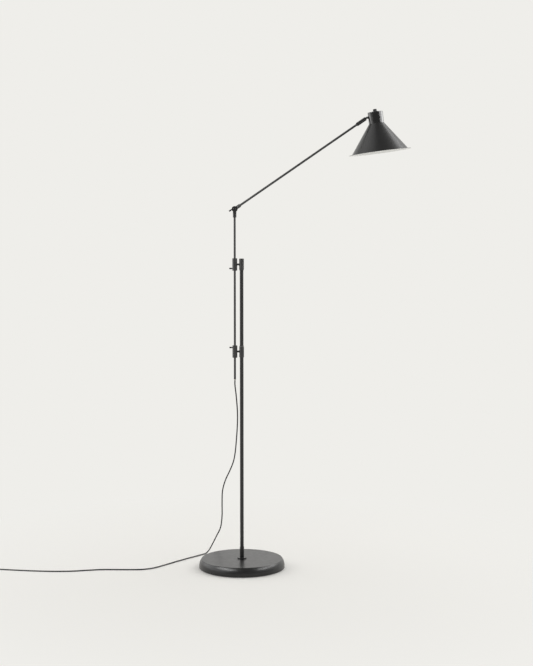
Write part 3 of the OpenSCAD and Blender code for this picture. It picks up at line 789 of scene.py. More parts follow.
@dataclass
class MainsLead:
    """The lead from the rod's lower end along the floor to its coil and plug."""

    radius: float = 0.0021
    length: float = 2.0
    sides: int = 20
    steps: int = 6
    still_z: float = 0.02
    free_z: float = 0.60
    coil_at: Point = (-0.838, -0.0545)
    coil_inner: float = 0.0209
    coil_turns: float = 3.25
    inward_from: float = 360.0
    upward_from: float = 720.0
    outward_from: float = 1035.0
    turn_steps: int = 48
    plug_width: float = 0.0353
    plug_thick: float = 0.0137
    plug_length: float = 0.035
    relief_length: float = 0.020
    pin_radius: float = 0.002
    pin_length: float = 0.019
    pin_gap: float = 0.0186
    sleeve_length: float = 0.010
    grips: int = 5
    grip_half: float = 0.0085
    grip_width: float = 0.0012
    grip_pitch: float = 0.0026
    drop: tuple[tuple[float, float, float], ...] = (
        (-0.022, 0, 0.6219), (-0.022, 0, 0.612), (-0.022, 0, 0.600), (-0.0177, 0.004, 0.560),
        (-0.0145, 0.020, 0.510), (-0.0152, 0.042, 0.464), (-0.019, 0.074, 0.411), (-0.024, 0.107, 0.361),
        (-0.031, 0.131, 0.325), (-0.0436, 0.152, 0.291), (-0.059, 0.171, 0.255), (-0.0693, 0.190, 0.215),
        (-0.0712, 0.202, 0.170), (-0.0716, 0.207, 0.125), (-0.077, 0.209, 0.085), (-0.0917, 0.208, 0.054),
        (-0.1054, 0.205, 0.027), (-0.1168, 0.198, 0.008), (-0.1273, 0.1852, 0), (-0.1335, 0.177, 0),
    )
    run: tuple[tuple[float, float, float], ...] = (
        (-0.1338, 0.1766, 0), (-0.155, 0.151, 0), (-0.185, 0.115, 0), (-0.222, 0.068, 0), (-0.258, 0.020, 0),
        (-0.290, -0.018, 0), (-0.325, -0.036, 0), (-0.365, -0.0385, 0), (-0.410, -0.038, 0),
        (-0.455, -0.038, 0), (-0.500, -0.047, 0), (-0.545, -0.058, 0), (-0.600, -0.062, 0),
        (-0.655, -0.058, 0), (-0.705, -0.051, 0), (-0.755, -0.0415, 0), (-0.806, -0.0312, 0),
        (-0.838, -0.0294, 0),
    )
    tail: tuple[tuple[float, float, float], ...] = (
        (-0.8631, -0.0545, 0.0042), (-0.8631, -0.075, 0.0046), (-0.8631, -0.096, 0.00475),
    )

    def build(self) -> None:
        bush = self._bush()
        pieces = [self._relief(), self._plug_body(), self._pins()]
        path = self.path()
        cord = self._tube(path)
        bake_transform(cord)
        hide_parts("cord_drop", "cord_run", "cord_coil", "cord_tail")
        log.info("piece %s joins %s and the floor", cord.name, bush.name)

    def path(self) -> list[Vector]:
        """The lead's centre line, from the rod to the plug."""
        hanging = self._smooth(self.drop)[:-2]
        lying = self._smooth(self.run)[1:-1]
        return hanging + lying + self._coil() + self._smooth(self.tail)[1:]

    def _smooth(self, route: Sequence[Sequence[float]]) -> list[Vector]:
        """Curve through the route's points, raised from the lead's underside to its middle."""
        points = [Vector(point) for point in route]
        points = [2 * points[0] - points[1], *points, 2 * points[-1] - points[-2]]
        curve = []
        for before, start, end, after in zip(points, points[1:], points[2:], points[3:]):
            for step in range(self.steps):
                t = step / self.steps
                curve.append(0.5 * (2 * start + (end - before) * t
                                    + (2 * before - 5 * start + 4 * end - after) * t * t
                                    + (3 * start - before - 3 * end + after) * t ** 3))
        curve.append(points[-2])
        return [Vector((p.x, p.y, max(p.z, 0.0) + self.radius)) for p in curve]

    def _coil(self) -> list[Vector]:
        """Three and a quarter turns: outside, inside, inside on top, and a last quarter outside on top."""
        gap = 2 * self.radius
        count = int(self.coil_turns * self.turn_steps)
        points = []
        for step in range(count + 1):
            angle = 90.0 + 360.0 * step / self.turn_steps
            inward = self._ease(angle, self.inward_from)
            upward = self._ease(angle, self.upward_from)
            outward = self._ease(angle, self.outward_from)
            radius = (self.coil_inner + gap * math.cos(inward * math.pi / 2)
                      + gap * math.sin(outward * math.pi / 2))
            height = self.radius + gap * math.sin(upward * math.pi / 2)
            turn = math.radians(angle)
            points.append(Vector((self.coil_at[0] + radius * math.cos(turn),
                                  self.coil_at[1] + radius * math.sin(turn), height)))
        return points

    @staticmethod
    def _ease(angle: float, start: float, over: float = 70.0) -> float:
        """Smooth step from 0 to 1 that begins at start and takes over degrees."""
        share = min(1.0, max(0.0, (angle - start) / over))
        return share * share * (3.0 - 2.0 * share)

    def _tube(self, path: Sequence[Vector]) -> bpy.types.Object:
        """Round tube along the path, with a UV map that runs round it and along it."""
        mesh = bmesh.new()
        layer = mesh.loops.layers.uv.new("along_lead")
        side = Vector((0.0, 1.0, 0.0))
        rings, lengths = [], [0.0]
        for index, centre in enumerate(path):
            heading = (path[min(index + 1, len(path) - 1)] - path[max(index - 1, 0)]).normalized()
            side = (side - side.dot(heading) * heading).normalized()
            across = heading.cross(side)
            turns = [2 * math.pi * k / self.sides for k in range(self.sides)]
            rings.append([mesh.verts.new(centre + self.radius * (math.cos(a) * side + math.sin(a) * across))
                          for a in turns])
            if index:
                lengths.append(lengths[-1] + (centre - path[index - 1]).length)
        for index, (ring, after) in enumerate(zip(rings, rings[1:])):
            for k in range(self.sides):
                n = (k + 1) % self.sides
                face = mesh.faces.new([ring[k], ring[n], after[n], after[k]])
                spots = ((k, index), (k + 1, index), (k + 1, index + 1), (k, index + 1))
                for loop, (turn, along) in zip(face.loops, spots):
                    loop[layer].uv = (turn / self.sides, lengths[along])
        mesh.faces.new(rings[0][::-1])
        mesh.faces.new(rings[-1])
        bmesh.ops.recalc_face_normals(mesh, faces=mesh.faces)
        data = bpy.data.meshes.new("mains_lead")
        mesh.to_mesh(data)
        mesh.free()
        data.polygons.foreach_set("use_smooth", [True] * len(data.polygons))
        data.set_sharp_from_angle(angle=math.radians(60.0))
        data.materials.append(SHEATH.material())
        cord = bpy.data.objects.new("mains_lead", data)
        bpy.context.collection.objects.link(cord)
        log.info("piece mains_lead, %.3f m long", lengths[-1])
        return cord

    def _bush(self) -> bpy.types.Object:
        """Pale bush with a flange that keeps the lead off the rod's edge."""
        foot, top = span("cord_bush")
        rod, seat, ledge = 0.0035, 0.00275, foot + 0.0027
        bore = self.radius + 0.00005
        outline = rounded([
            (bore, foot, 0.0005), (rod - 0.0002, foot, 0.0006), (rod, ledge, 0.0002),
            (seat, ledge, 0.0), (seat, top, 0.0003), (bore, top, 0.0002),
        ])
        place = LAYOUT.on_rod(0.0)
        return turned_piece("rod_cord_bush", "cord_carrier", NYLON, "cord_bush", outline, place, 64)

    def _plug_place(self) -> Matrix:
        """Frame where the lead enters the plug's strain relief, with its Z away from the coil."""
        end = self.tail[-1]
        return Matrix.Translation((end[0], end[1], self.plug_thick / 2)) @ Way.FRONT.turn()

    def _relief(self) -> bpy.types.Object:
        """Tapered strain relief with a row of grooves."""
        start, end = self.radius + 0.0007, 0.0045
        grooves, count = [], 6
        for index in range(count):
            at = self.relief_length * (0.08 + 0.84 * index / count)
            width = self.relief_length * 0.84 / count
            wall = start + (end - start) * at / self.relief_length
            grooves += [(wall, at, 0.0002), (wall + 0.0001, at + 0.62 * width, 0.0002),
                        (wall - 0.0006, at + 0.68 * width, 0.0002),
                        (wall - 0.0006, at + 0.94 * width, 0.0002)]
        outline = rounded([(self.radius, 0.0, 0.0), (start - 0.0002, 0.0, 0.0002), *grooves,
                           (end, self.relief_length, 0.0), (self.radius, self.relief_length, 0.0)], steps=2)
        place = self._plug_place()
        return turned_piece("plug_strain_relief", "stand", MOULDED, "plug_relief", outline, place, 48)

    def _plug_body(self) -> bpy.types.Object:
        """Flat moulded body with soft edges and finger grips on both faces."""
        half, nose = self.plug_width / 2, 0.0075
        start, face = self.relief_length, self.relief_length + self.plug_length
        place = self._plug_place()
        side = rounded([(-nose, start, 0.003), (nose, start, 0.003), (half, face - 0.019, 0.006),
                        (half, face, 0.003), (-half, face, 0.003), (-half, face - 0.019, 0.006)], steps=6)
        thick = self.plug_thick / 2
        body = Shape().slab(side, -thick, thick, place).softened(0.0022, steps=4, over=50.0)
        for top in (-1, 1):
            for index in range(self.grips):
                at = face - 0.0165 + self.grip_pitch * index
                wide, end = self.grip_half, at + self.grip_width
                bar = rounded([(x, z, 0.0005) for x, z in rectangle(-wide, wide, at, end)], steps=3)
                low_y, high_y = sorted((top * (thick - 0.0008), top * (thick - 0.00002)))
                body.slab(bar, low_y, high_y, place)
        return body.piece("plug_housing", "stand", MOULDED, replaces=["plug_body"])

    def _pins(self) -> bpy.types.Object:
        """Two round pins, bare at the tips and sleeved at the root."""
        face = self.relief_length + self.plug_length
        bare = rounded([(0.0, face - 0.001, 0.0), (self.pin_radius - 0.00025, face - 0.001, 0.0),
                        (self.pin_radius - 0.00025, face + self.sleeve_length, 0.0),
                        (self.pin_radius, face + self.sleeve_length, 0.0),
                        (self.pin_radius, face + self.pin_length, 0.0012),
                        (0.0, face + self.pin_length, 0.0)])
        sleeve = ring_outline(self.pin_radius - 0.0002, self.pin_radius, face - 0.001,
                              face + self.sleeve_length - 0.0001, 0.0001)
        shape = Shape()
        for side in (-1, 1):
            place = self._plug_place() @ Matrix.Translation((side * self.pin_gap / 2, 0.0, 0.0))
            shape.turned(bare, place, sides=40, finish=0).turned(sleeve, place, sides=40, finish=1)
        return shape.piece("plug_contact_pins", "stand", PINS, MOULDED, replaces=["plug_pins"])


# ---- stand


@dataclass
class Base:
    """Weighted round foot with its cover, felt, flange and sleeve."""

    widest_z: float = 0.008
    shoulder: float = 0.036
    wall: float = 0.0012
    edge_z: float = 0.002
    hole: float = 0.00315
    pole_radius: float = 0.006
    top_edge: float = 0.0007

    def build(self) -> None:
        """Makes the visible pieces and dresses the parts inside."""
        self._cover()
        self._felt()
        self._flange()
        self._sleeve()
        dress(CAST, "base_weight")
        dress(ZINC, "bottom_plate", "plate_screws", "pole_insert", "pole_stud", "base_washer", "base_nut")

    def _wall(self, radius: float, top: float, shoulder: float, edge: float) -> list[Corner]:
        """Corners up the side and over the shoulder to the flat top."""
        centre = (radius - shoulder, self.widest_z)
        reach = math.degrees(math.asin((top - self.widest_z) / shoulder))
        curve = arc(centre, shoulder, 0.0, reach, 20)
        crest = curve.pop()
        return [*curve, (crest[0], top, edge)]

    def _cover(self) -> None:
        """Spun steel cover: a rolled lower edge, a domed side and a flat top."""
        radius, top = high("base_cover").x, high("base_cover").z
        outer = self._wall(radius, top, self.shoulder, self.top_edge)
        inner = self._wall(radius - self.wall, top - self.wall, self.shoulder - self.wall, 0.0)
        outline = rounded([
            (radius, self.edge_z, 0.0005), *outer,
            (self.hole, top, 0.0002), (self.hole, top - self.wall, 0.0),
            *reversed(inner), (radius - self.wall, self.edge_z, 0.0004),
        ], steps=4)
        turned_piece("base_cover_shell", "stand", SATIN, "base_cover", outline, sides=256)

    def _felt(self) -> None:
        """Felt pad with a soft edge, flat on the floor."""
        radius, top = high("felt_pad").x, high("felt_pad").z
        outline = rounded([(0.0, 0.0, 0.0), (radius, 0.0, 0.0006), (radius, top, 0.0004), (0.0, top, 0.0)])
        turned_piece("felt_foot", "stand", FELT, "felt_pad", outline, sides=192)

    def _flange(self) -> None:
        """Thin round flange under the pole."""
        (floor, top), radius = span("pole_flange"), high("pole_flange").x
        outline = rounded([(self.hole, floor, 0.0), (radius, floor, 0.0002), (radius, top, 0.0009),
                           (self.hole, top, 0.0)])
        turned_piece("pole_foot_flange", "stand", SATIN, "pole_flange", outline, sides=128)

    def _sleeve(self) -> None:
        """Short sleeve that stiffens the pole's foot."""
        (floor, top), radius = span("foot_sleeve"), high("foot_sleeve").x
        outline = rounded([(self.pole_radius, floor, 0.0), (radius, floor, 0.0002), (radius, top, 0.0006),
                           (self.pole_radius, top, 0.0)])
        turned_piece("pole_foot_sleeve", "stand", SATIN, "foot_sleeve", outline)


@dataclass
class Pole:
    """Main tube and the dark plug in its top end."""

    bore: float = 0.0045
    edge: float = 0.0003

    def build(self) -> None:
        """Makes the tube and its cap."""
        (floor, top), radius = span("main_pole"), high("main_pole").x
        tube = ring_outline(self.bore, radius, floor, top, self.edge)
        turned_piece("pole_tube", "stand", SATIN, "main_pole", tube)
        start, end = span("pole_cap")
        cap = rounded([(0.0, start, 0.0), (self.bore - SNUG, start, 0.0004), (self.bore - SNUG, top, 0.0),
                       (radius, top, 0.0002), (radius, end, 0.001), (0.0, end, 0.0)])
        turned_piece("pole_top_plug", "stand", PLASTIC, "pole_cap", cap)


@dataclass
class ThumbScrew:
    """Slim screw with a knurled head, made from its tip along local Z."""

    shank_radius: float = 0.002
    shank_length: float = 0.0048
    neck_radius: float = 0.0016
    neck_length: float = 0.0012
    head_radius: float = 0.0024
    length: float = 0.0138
    knurls: int = 20

    def build(self, name: str, node: str, body: str, place: Matrix) -> None:
        """Makes the screw.

        Args:
            name: the piece's name.
            node: the node that it stands for.
            body: the body that it turns with.
            place: frame at the screw's tip with its Z towards the head.
        """
        head = self.shank_length + self.neck_length
        grip = self.head_radius - 0.00025
        outline = rounded([
            (0.0, 0.0, 0.0), (self.shank_radius, 0.0, 0.0005),
            (self.shank_radius, self.shank_length, 0.0003),
            (self.neck_radius, self.shank_length, 0.0), (self.neck_radius, head, 0.0),
            (self.head_radius, head, 0.0003), (self.head_radius, head + 0.0012, 0.0002),
            (grip, head + 0.0014, 0.0), (grip, self.length - 0.0016, 0.0),
            (self.head_radius, self.length - 0.0014, 0.0002), (self.head_radius, self.length, 0.0007),
            (0.0012, self.length, 0.0002), (0.0, self.length - 0.0003, 0.0),
        ])
        shape = Shape().turned(outline, place, sides=64)
        knurl = ribs(grip, head + 0.0013, self.length - 0.0015, 0.0005, self.knurls, HARDWARE)
        shape.copied(knurl, place)
        shape.piece(name, body, HARDWARE, replaces=[node])


@dataclass
class Clamp:
    """Collar on the pole, bridge, and barrel with liner and thumb screw; the lower collar is upside down."""

    level: str
    flip: int
    collar_radius: float = 0.00775
    collar_bore: float = 0.00601
    collar_end: float = 0.0068
    taper: float = 0.004
    barrel_radius: float = 0.008
    barrel_bore: float = 0.0045
    bridge_radius: float = 0.00325
    tip_reach: float = 0.0038

    def build(self) -> None:
        """Makes the clamp's pieces round the frame's places."""
        self._collar()
        self._bridge()
        self._barrel()
        dress(NYLON, self.level + "_liner")
        rod = LAYOUT.elbow.x
        screw = self.level + "_clamp_screw"
        height = sum(span(screw)) / 2
        place = Matrix.Translation((rod - self.tip_reach, 0.0, height)) @ Way.BACK_ALONG_ARM.turn()
        ThumbScrew().build(self.level + "_thumb_screw_knurled", screw, self.level + "_thumb_screw", place)

    def _collar(self) -> None:
        """Collar with a long taper at one end and a short one at the other."""
        node = self.level + "_collar"
        middle = sum(span(node)) / 2
        half = (high(node).z - low(node).z) / 2
        corners = [
            (self.collar_bore, -half, 0.0001), (self.collar_end, -half, 0.0002),
            (self.collar_radius, self.taper - half, 0.0012),
            (self.collar_radius, half - self.taper / 4, 0.0004),
            (self.collar_end, half, 0.0002), (self.collar_bore, half, 0.0001),
        ]
        outline = rounded([(r, middle + self.flip * z, fillet) for r, z, fillet in corners])
        turned_piece(self.level + "_pole_collar", "stand", SATIN_TUBE_PAINTED_LIGHT, node, outline)

    def _bridge(self) -> None:
        """Round bar with a weld fillet where it meets the collar."""
        node = self.level + "_bridge"
        height = sum(span(node)) / 2
        start, flare = low(node).x, -self.collar_radius - 0.0018
        weld = [(self.bridge_radius + 0.0016 * share ** 2, flare + 0.0032 * share, 0.0)
                for share in (0.25, 0.5, 0.75, 1.0)]
        outline = rounded([(0.0, start, 0.0), (self.bridge_radius, start, 0.0),
                           (self.bridge_radius, flare, 0.0), *weld, (0.0, weld[-1][1], 0.0)])
        place = Matrix.Translation((0.0, 0.0, height)) @ Way.ARM.turn()
        turned_piece(self.level + "_bridge_bar", "stand", SATIN, node, outline, place, 48)

    def _barrel(self) -> None:
        """Barrel round the rod, with a chamfer at both ends."""
        node = self.level + "_barrel"
        (floor, top), edge = span(node), 0.0008
        outline = rounded([
            (self.barrel_bore, floor, 0.0002), (self.barrel_radius - edge, floor, 0.0002),
            (self.barrel_radius, floor + edge, 0.0003), (self.barrel_radius, top - edge, 0.0003),
            (self.barrel_radius - edge, top, 0.0002), (self.barrel_bore, top, 0.0002),
        ])
        turned_piece(self.level + "_rod_barrel", "stand", SATIN_TUBE_PAINTED_LIGHT, node, outline, LAYOUT.on_rod(0.0))


# ---- riser and arm


@dataclass
class Riser:
    """Sliding rod and the fork of the elbow on its top end."""

    bore: float = 0.0028
    ferrule_radius: float = 0.00575
    ferrule_low: float = -0.027
    ferrule_high: float = -0.008
    cheek_radius: float = 0.0095
    cheek_in: float = 0.0036
    cheek_out: float = 0.0062
    block_half: float = 0.00525
    block_low: float = -0.01425
    slot_spare: float = 0.0004
    bolt_head: float = 0.0045
    nut_reach: float = 0.0049

    def build(self) -> None:
        """Makes the rod, the fork, the bolt and the nut."""
        floor, top = span("riser_rod")
        radius = high("riser_rod").x - LAYOUT.elbow.x
        rod = ring_outline(self.bore, radius, floor, top, 0.0003)
        turned_piece("rod_tube", "riser", SATIN_TUBE_PAINTED_LIGHT, "riser_rod", rod, LAYOUT.on_rod(0.0), 72)
        self._fork()
        self._bolt()
        self._nut()
        dress(NYLON, "elbow_washers")
        dress(INNER_SHEATH, "rod_cable")

    def _fork(self) -> None:
        """Ferrule on the rod with two round cheeks above it."""
        place = LAYOUT.at_elbow()
        socket = rounded([(0.0, self.ferrule_low, 0.0), (self.ferrule_radius, self.ferrule_low, 0.0),
                          (self.ferrule_radius, self.ferrule_high, 0.0), (0.0, self.ferrule_high, 0.0)])
        parts = [Shape().turned(socket, place, sides=64)]
        reach = math.degrees(math.asin(self.block_half / self.cheek_radius))
        cheek = [point[:2] for point in arc((0.0, 0.0), self.cheek_radius, -90.0 + reach, 270.0 - reach, 72)]
        cheek += [(-self.block_half, self.block_low), (self.block_half, self.block_low)]
        for side in (-1, 1):
            ends = sorted((side * self.cheek_in, side * self.cheek_out))
            parts.append(Shape().slab(cheek, *ends, place))
        reach = self.cheek_radius + self.slot_spare
        slot = rectangle(0.0, reach, -self.cheek_in, self.cheek_in)
        cuts = [Shape().turned(slot, place @ Way.BACK.turn(), sides=96)]
        fork = fused(parts, cuts).softened(0.0003, steps=2)
        fork.piece("elbow_fork_cheeks", "riser", SATIN, replaces=["elbow_fork"])

    def _bolt(self) -> None:
        """Low round head with a hexagon socket, on a plain shank."""
        shank, face = 0.0025, self.cheek_out
        outline = rounded([
            (0.0, -face - 0.0034, 0.0), (shank, -face - 0.0034, 0.0004), (shank, face, 0.0),
            (self.bolt_head, face, 0.0002), (self.bolt_head, face + 0.0012, 0.0005),
            (self.bolt_head - 0.0015, face + 0.0022, 0.0003), (0.0, face + 0.0022, 0.0),
        ])
        place = LAYOUT.at_elbow() @ Way.FRONT.turn()
        socket = rectangle(0.0, 0.0016, face + 0.0008, face + 0.003)
        bolt = fused([Shape().turned(outline, place, sides=72)], [Shape().turned(socket, place, sides=6)])
        bolt.piece("elbow_pivot_bolt", "riser", HARDWARE, replaces=["elbow_bolt"])

    def _nut(self) -> None:
        """Hexagon nut with rounded corners."""
        outline = rectangle(0.0026, self.nut_reach, self.cheek_out, self.cheek_out + 0.003)
        place = LAYOUT.at_elbow() @ Way.BACK.turn()
        shape = Shape().turned(outline, place, sides=6).softened(0.0003, steps=2)
        shape.piece("elbow_hex_nut", "riser", HARDWARE, replaces=["elbow_nut"])


@dataclass
class Arm:
    """Tube between the elbow's eye and the ferrule at the head's hinge."""

    eye_radius: float = 0.0095
    eye_half: float = 0.00295
    web_half: float = 0.005
    root_start: float = 0.010
    root_end: float = 0.0215
    root_radius: float = 0.0056
    tube_start: float = 0.013
    tube_radius: float = 0.0035
    tube_bore: float = 0.0028
    tube_hold: float = 0.007
    ferrule_length: float = 0.0352
    ferrule_radius: float = 0.006
    tongue_gap: float = 0.0038
    tongue_half: float = 0.00145
    tongue_radius: float = 0.0034
    screw_up: float = 0.0042
    screw_tip: float = 0.0048

    def build(self) -> None:
        """Makes the eye, the tube, the end ferrule and the elbow's thumb screw."""
        self._eye()
        self._tube()
        self._ferrule()
        place = LAYOUT.on_arm() @ Matrix.Translation((-self.screw_tip, 0.0, self.screw_up))
        ThumbScrew().build("elbow_thumb_screw_knurled", "elbow_screw", "elbow_thumb_screw",
                           place @ Way.BACK_ALONG_ARM.turn())
        dress(INNER_SHEATH, "arm_cable")

    def _eye(self) -> None:
        """Round eye between the cheeks, with the socket for the tube."""
        place = LAYOUT.on_arm()
        disc = rectangle(0.0, self.eye_radius, -self.eye_half, self.eye_half)
        web = rectangle(0.0, self.root_start + 0.002, -self.web_half, self.web_half)
        root = rectangle(0.0, self.root_radius, self.root_start, self.root_end)
        parts = [
            Shape().turned(disc, place @ Way.BACK.turn(), sides=96),
            Shape().slab(web, -self.eye_half, self.eye_half, place),
            Shape().turned(root, place @ Way.ARM.turn(), sides=64),
        ]
        eye = fused(parts).softened(0.0004, steps=3)
        eye.piece("elbow_eye_socket", "arm", SATIN_TUBE_PAINTED_LIGHT, replaces=["elbow_eye"])

    def _tube(self) -> None:
        """Thin tube of the arm."""
        end = LAYOUT.arm_length - self.tongue_gap - self.ferrule_length + self.tube_hold
        outline = ring_outline(self.tube_bore, self.tube_radius, self.tube_start, end, 0.0002)
        place = LAYOUT.on_arm() @ Way.ARM.turn()
        turned_piece("arm_tube_long", "arm", SATIN_TUBE_PAINTED_LIGHT, "arm_tube", outline, place, 72)

    def _ferrule(self) -> None:
        """Turned ferrule with rounded ends, and the tongue of the hinge."""
        place = LAYOUT.on_arm()
        end = LAYOUT.arm_length - self.tongue_gap
        start, radius = end - self.ferrule_length, self.ferrule_radius
        body = rounded([(0.0, start, 0.0), (radius, start, 0.0008), (radius, end, 0.0012), (0.0, end, 0.0)])
        tip = LAYOUT.arm_length
        nose = [point[:2] for point in arc((tip, 0.0), self.tongue_radius, -90.0, 90.0, 24)]
        tongue = [(end - 0.002, self.tongue_radius), (end - 0.002, -self.tongue_radius), *nose]
        parts = [Shape().turned(body, place @ Way.ARM.turn(), sides=72),
                 Shape().slab(tongue, -self.tongue_half, self.tongue_half, place)]
        fused(parts).softened(0.0002, steps=2).piece("arm_end_ferrule_turned", "arm", GLOSS,
                                                     replaces=["arm_end_ferrule"])


# ---- head


@dataclass
class Head:
    """Neck, shade, lampholder, bulb and the turning switch on top."""

    neck_radius: float = 0.0245
    neck_wall: float = 0.0012
    neck_top: float = 0.0154
    neck_low: float = -0.0216
    cone_radius: float = 0.091
    lip_radius: float = 0.100
    rim_z: float = -0.113
    sheet: float = 0.001
    hole: float = 0.01425
    holder_radius: float = 0.014
    holder_top: float = -0.008
    holder_mouth: float = -0.050
    ear_radius: float = 0.0034
    ear_in: float = 0.0016
    ear_thick: float = 0.0018
    pad_half_height: float = 0.0045
    pad_half_width: float = 0.0055
    bulb_radius: float = 0.0225
    bulb_z: float = -0.0755
    bush_radius: float = 0.00505
    knob_radius: float = 0.006
    knob_low: float = 0.0182
    knob_high: float = 0.0245
    place: Matrix = field(default_factory=lambda: LAYOUT.in_head())

    def build(self) -> None:
        """Makes the head's pieces and dresses the parts inside."""
        self._ears()
        self._neck()
        self._shade()
        self._lampholder()
        self._shade_ring()
        self._bulb()
        self._switch_nut()
        self._knob()
        dress(ZINC, "hinge_pin", "holder_plate")
        dress(PLASTIC, "switch_body")
        dress(PINS, "bulb_cap", "head_wires")

    def _ears(self) -> None:
        """Two ears on a curved pad that is fixed to the neck's side."""
        radius, tall, off = self.ear_radius, self.pad_half_height, self.neck_radius + LAYOUT.neck_gap
        nose = [point[:2] for point in arc((-off, 0.0), radius, 90.0, 270.0, 24)]
        outline = [*nose, (-self.neck_radius + 0.001, -radius), (-self.neck_radius + 0.001, radius)]
        face, root = -self.neck_radius - 0.0006, -self.neck_radius + 0.003
        pad = rectangle(face, root, -tall, tall)
        parts = [Shape().slab(pad, -self.pad_half_width, self.pad_half_width, self.place)]
        for side in (-1, 1):
            ends = sorted((side * self.ear_in, side * (self.ear_in + self.ear_thick)))
            parts.append(Shape().slab(outline, *ends, self.place))
        inside = rectangle(0.0, self.neck_radius + SNUG, -0.01, 0.01)
        cuts = [Shape().turned(inside, self.place, sides=256)]
        fused(parts, cuts).softened(0.0002, steps=2).piece("neck_hinge_ears", "head", GLOSS,
                                                           replaces=["hinge_ears"])

    def _neck(self) -> None:
        """Drawn cup with a rounded crown, open below."""
        inner = self.neck_radius - self.neck_wall
        outline = rounded([
            (inner, self.neck_low, 0.0003), (self.neck_radius, self.neck_low, 0.0005),
            (self.neck_radius, self.neck_top, 0.0013), (self.bush_radius, self.neck_top, 0.0002),
            (self.bush_radius, self.neck_top - self.neck_wall, 0.0),
            (inner, self.neck_top - self.neck_wall, 0.0005),
        ])
        turned_piece("neck_crown", "head", GLOSS, "neck_cup", outline, self.place, 160)

    def _shade(self) -> None:
        """Spun cone with a flat lip, black outside, and the white coat inside it."""
        slope = (self.cone_radius - self.neck_radius) / (self.neck_low - self.rim_z)
        inset = self.sheet * math.hypot(1.0, slope) - slope * self.sheet
        under, shelf = self.rim_z - self.sheet, self.neck_low - self.sheet
        outline = rounded([
            (self.hole, self.neck_low, 0.0002), (self.neck_radius, self.neck_low, 0.0006),
            (self.cone_radius, self.rim_z, 0.0022), (self.lip_radius, self.rim_z, 0.00045),
            (self.lip_radius, under, 0.00045), (self.cone_radius - inset, under, 0.0016),
            (self.neck_radius - inset, shelf, 0.0005), (self.hole, shelf, 0.0002),
        ])
        turned_piece("shade_spun_cone", "head", SATIN, "shade", outline, self.place, 256)
        thin, gap = 0.00012, 0.00002
        inner = [(self.hole + 0.0004, shelf, 0.0), (self.neck_radius - inset, shelf, 0.0005),
                 (self.cone_radius - inset, under, 0.0016), (self.lip_radius - 0.0005, under, 0.0)]
        top = [(r, z - gap, fillet) for r, z, fillet in inner]
        face = [(r, z - gap - thin, fillet) for r, z, fillet in inner]
        coat = rounded([*top, *reversed(face)])
        Shape().turned(coat, self.place, sides=256).piece("shade_enamel_lining", "head", ENAMEL)

    def _lampholder(self) -> None:
        """Moulded holder with an outside thread for the shade ring."""
        root, flange = self.holder_radius - 0.0005, 0.018
        bore, bottom = 0.0083, self.holder_mouth + 0.030
        floor = self.neck_low + 0.0016
        outline = rounded([
            (bore, self.holder_mouth, 0.0004), (root, self.holder_mouth, 0.0008), (root, floor, 0.0),
            (flange, floor, 0.0004), (flange, floor + 0.002, 0.0004),
            (self.holder_radius, floor + 0.002, 0.0),
            (self.holder_radius, self.holder_top, 0.0008), (0.0, self.holder_top, 0.0),
            (0.0, bottom, 0.0), (bore, bottom, 0.0),
        ])
        shape = Shape().turned(outline, self.place, sides=96)
        sizes = {"Turns": 9.0, "Radius": root, "Height": 0.024, "Ridge": 0.00045}
        thread = screw_thread().applied(Shape(), PLASTIC, **sizes)
        shape.copied(thread, self.place @ Matrix.Translation((0.0, 0.0, self.holder_mouth + 0.0015)))
        shape.piece("lampholder_moulded", "head", PLASTIC, replaces=["lampholder"])

    def _shade_ring(self) -> None:
        """Ribbed ring that holds the shade against the neck."""
        top = self.neck_low - self.sheet - 0.0003
        floor = top - 0.0041
        outline = ring_outline(self.holder_radius + SNUG, 0.0196, floor, top, 0.0006)
        shape = Shape().turned(outline, self.place, sides=96)
        shape.copied(ribs(0.0195, floor + 0.0004, top - 0.0004, 0.0008, 40, PLASTIC), self.place)
        shape.piece("shade_ring_ribbed", "head", PLASTIC, replaces=["shade_ring"])

    def _bulb(self) -> None:
        """Round opal bulb whose neck narrows to the cap, with a thin wall."""
        mouth, wall, neck = self.holder_mouth + 0.0035, 0.0008, 0.0079

        def side(shrink: float) -> list[Corner]:
            """Corners from the mouth to the tip, moved inwards by shrink."""
            ball = arc((0.0, self.bulb_z), self.bulb_radius - shrink, 46.0, -90.0, 48)
            throat = [(neck - shrink, self.holder_mouth + 0.0005, 0.009)]
            tip = (0.0, self.bulb_z - self.bulb_radius + shrink, 0.0)
            return [(neck - shrink, mouth, 0.0), *throat, *ball[:-1], tip]

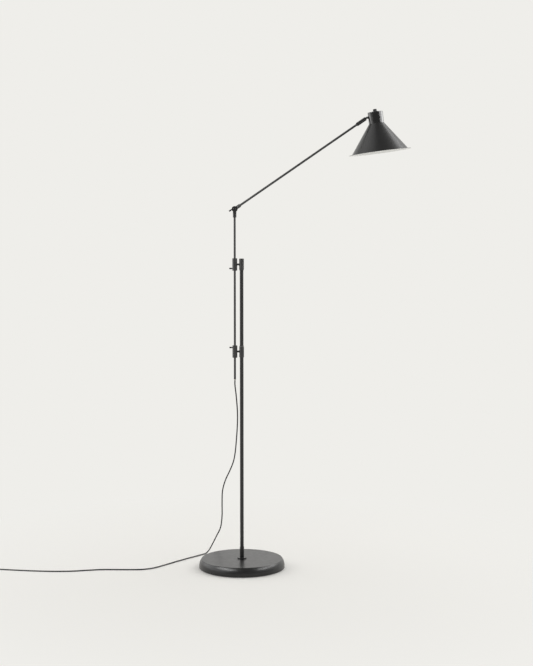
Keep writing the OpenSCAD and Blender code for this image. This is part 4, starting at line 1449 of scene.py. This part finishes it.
        outline = rounded([*side(0.0), *reversed(side(wall))])
        turned_piece("bulb_opal_glass", "head", OPAL, "bulb_glass", outline, self.place)

    def _switch_nut(self) -> None:
        """Knurled ring nut that holds the switch in the crown."""
        floor, top = self.neck_top, self.neck_top + 0.0024
        outline = ring_outline(0.00501, 0.0083, floor, top, 0.0003)
        shape = Shape().turned(outline, self.place, sides=72)
        shape.copied(ribs(0.0082, floor + 0.0003, top - 0.0003, 0.0006, 36, HARDWARE), self.place)
        shape.piece("switch_ring_nut", "head", HARDWARE, replaces=["switch_nut"])

    def _knob(self) -> None:
        """Small fluted knob with a raised pointer line, on its shaft."""
        foot, shaft = self.neck_top - self.neck_wall - 0.0035, 0.002
        grip = self.knob_radius - 0.0003
        outline = rounded([
            (0.0, foot, 0.0), (shaft, foot, 0.0002), (shaft, self.knob_low, 0.0),
            (self.knob_radius, self.knob_low, 0.0003), (self.knob_radius, self.knob_low + 0.0011, 0.0003),
            (grip, self.knob_low + 0.0013, 0.0), (grip, self.knob_high, 0.0009), (0.0, self.knob_high, 0.0),
        ])
        shape = Shape().turned(outline, self.place, sides=72)
        flutes = ribs(grip - 0.00005, self.knob_low + 0.001, self.knob_high - 0.0008, 0.00068, 24, PLASTIC)
        shape.copied(flutes, self.place)
        start, end = 0.0012, grip - 0.0011
        sunk, proud = self.knob_high - 0.0005, self.knob_high + 0.00015
        pointer = rounded([(start, sunk, 0.0), (end, sunk, 0.0),
                           (end, proud, 0.0001), (start, proud, 0.0001)], steps=2)
        shape.slab(pointer, -0.00025, 0.00025, self.place)
        shape.piece("switch_knob_fluted", "knob", PLASTIC, replaces=["switch_knob"])


# ---- the lamp


def main() -> None:
    """Builds the studio and the lamp."""
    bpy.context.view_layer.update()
    Studio().build()
    MainsLead().build()
    Base().build()
    Pole().build()
    Clamp("upper", 1).build()
    Clamp("lower", -1).build()
    dress(ZINC, "collar_screws")
    Riser().build()
    Arm().build()
    Head().build()


if __name__ == "__main__":
    main()
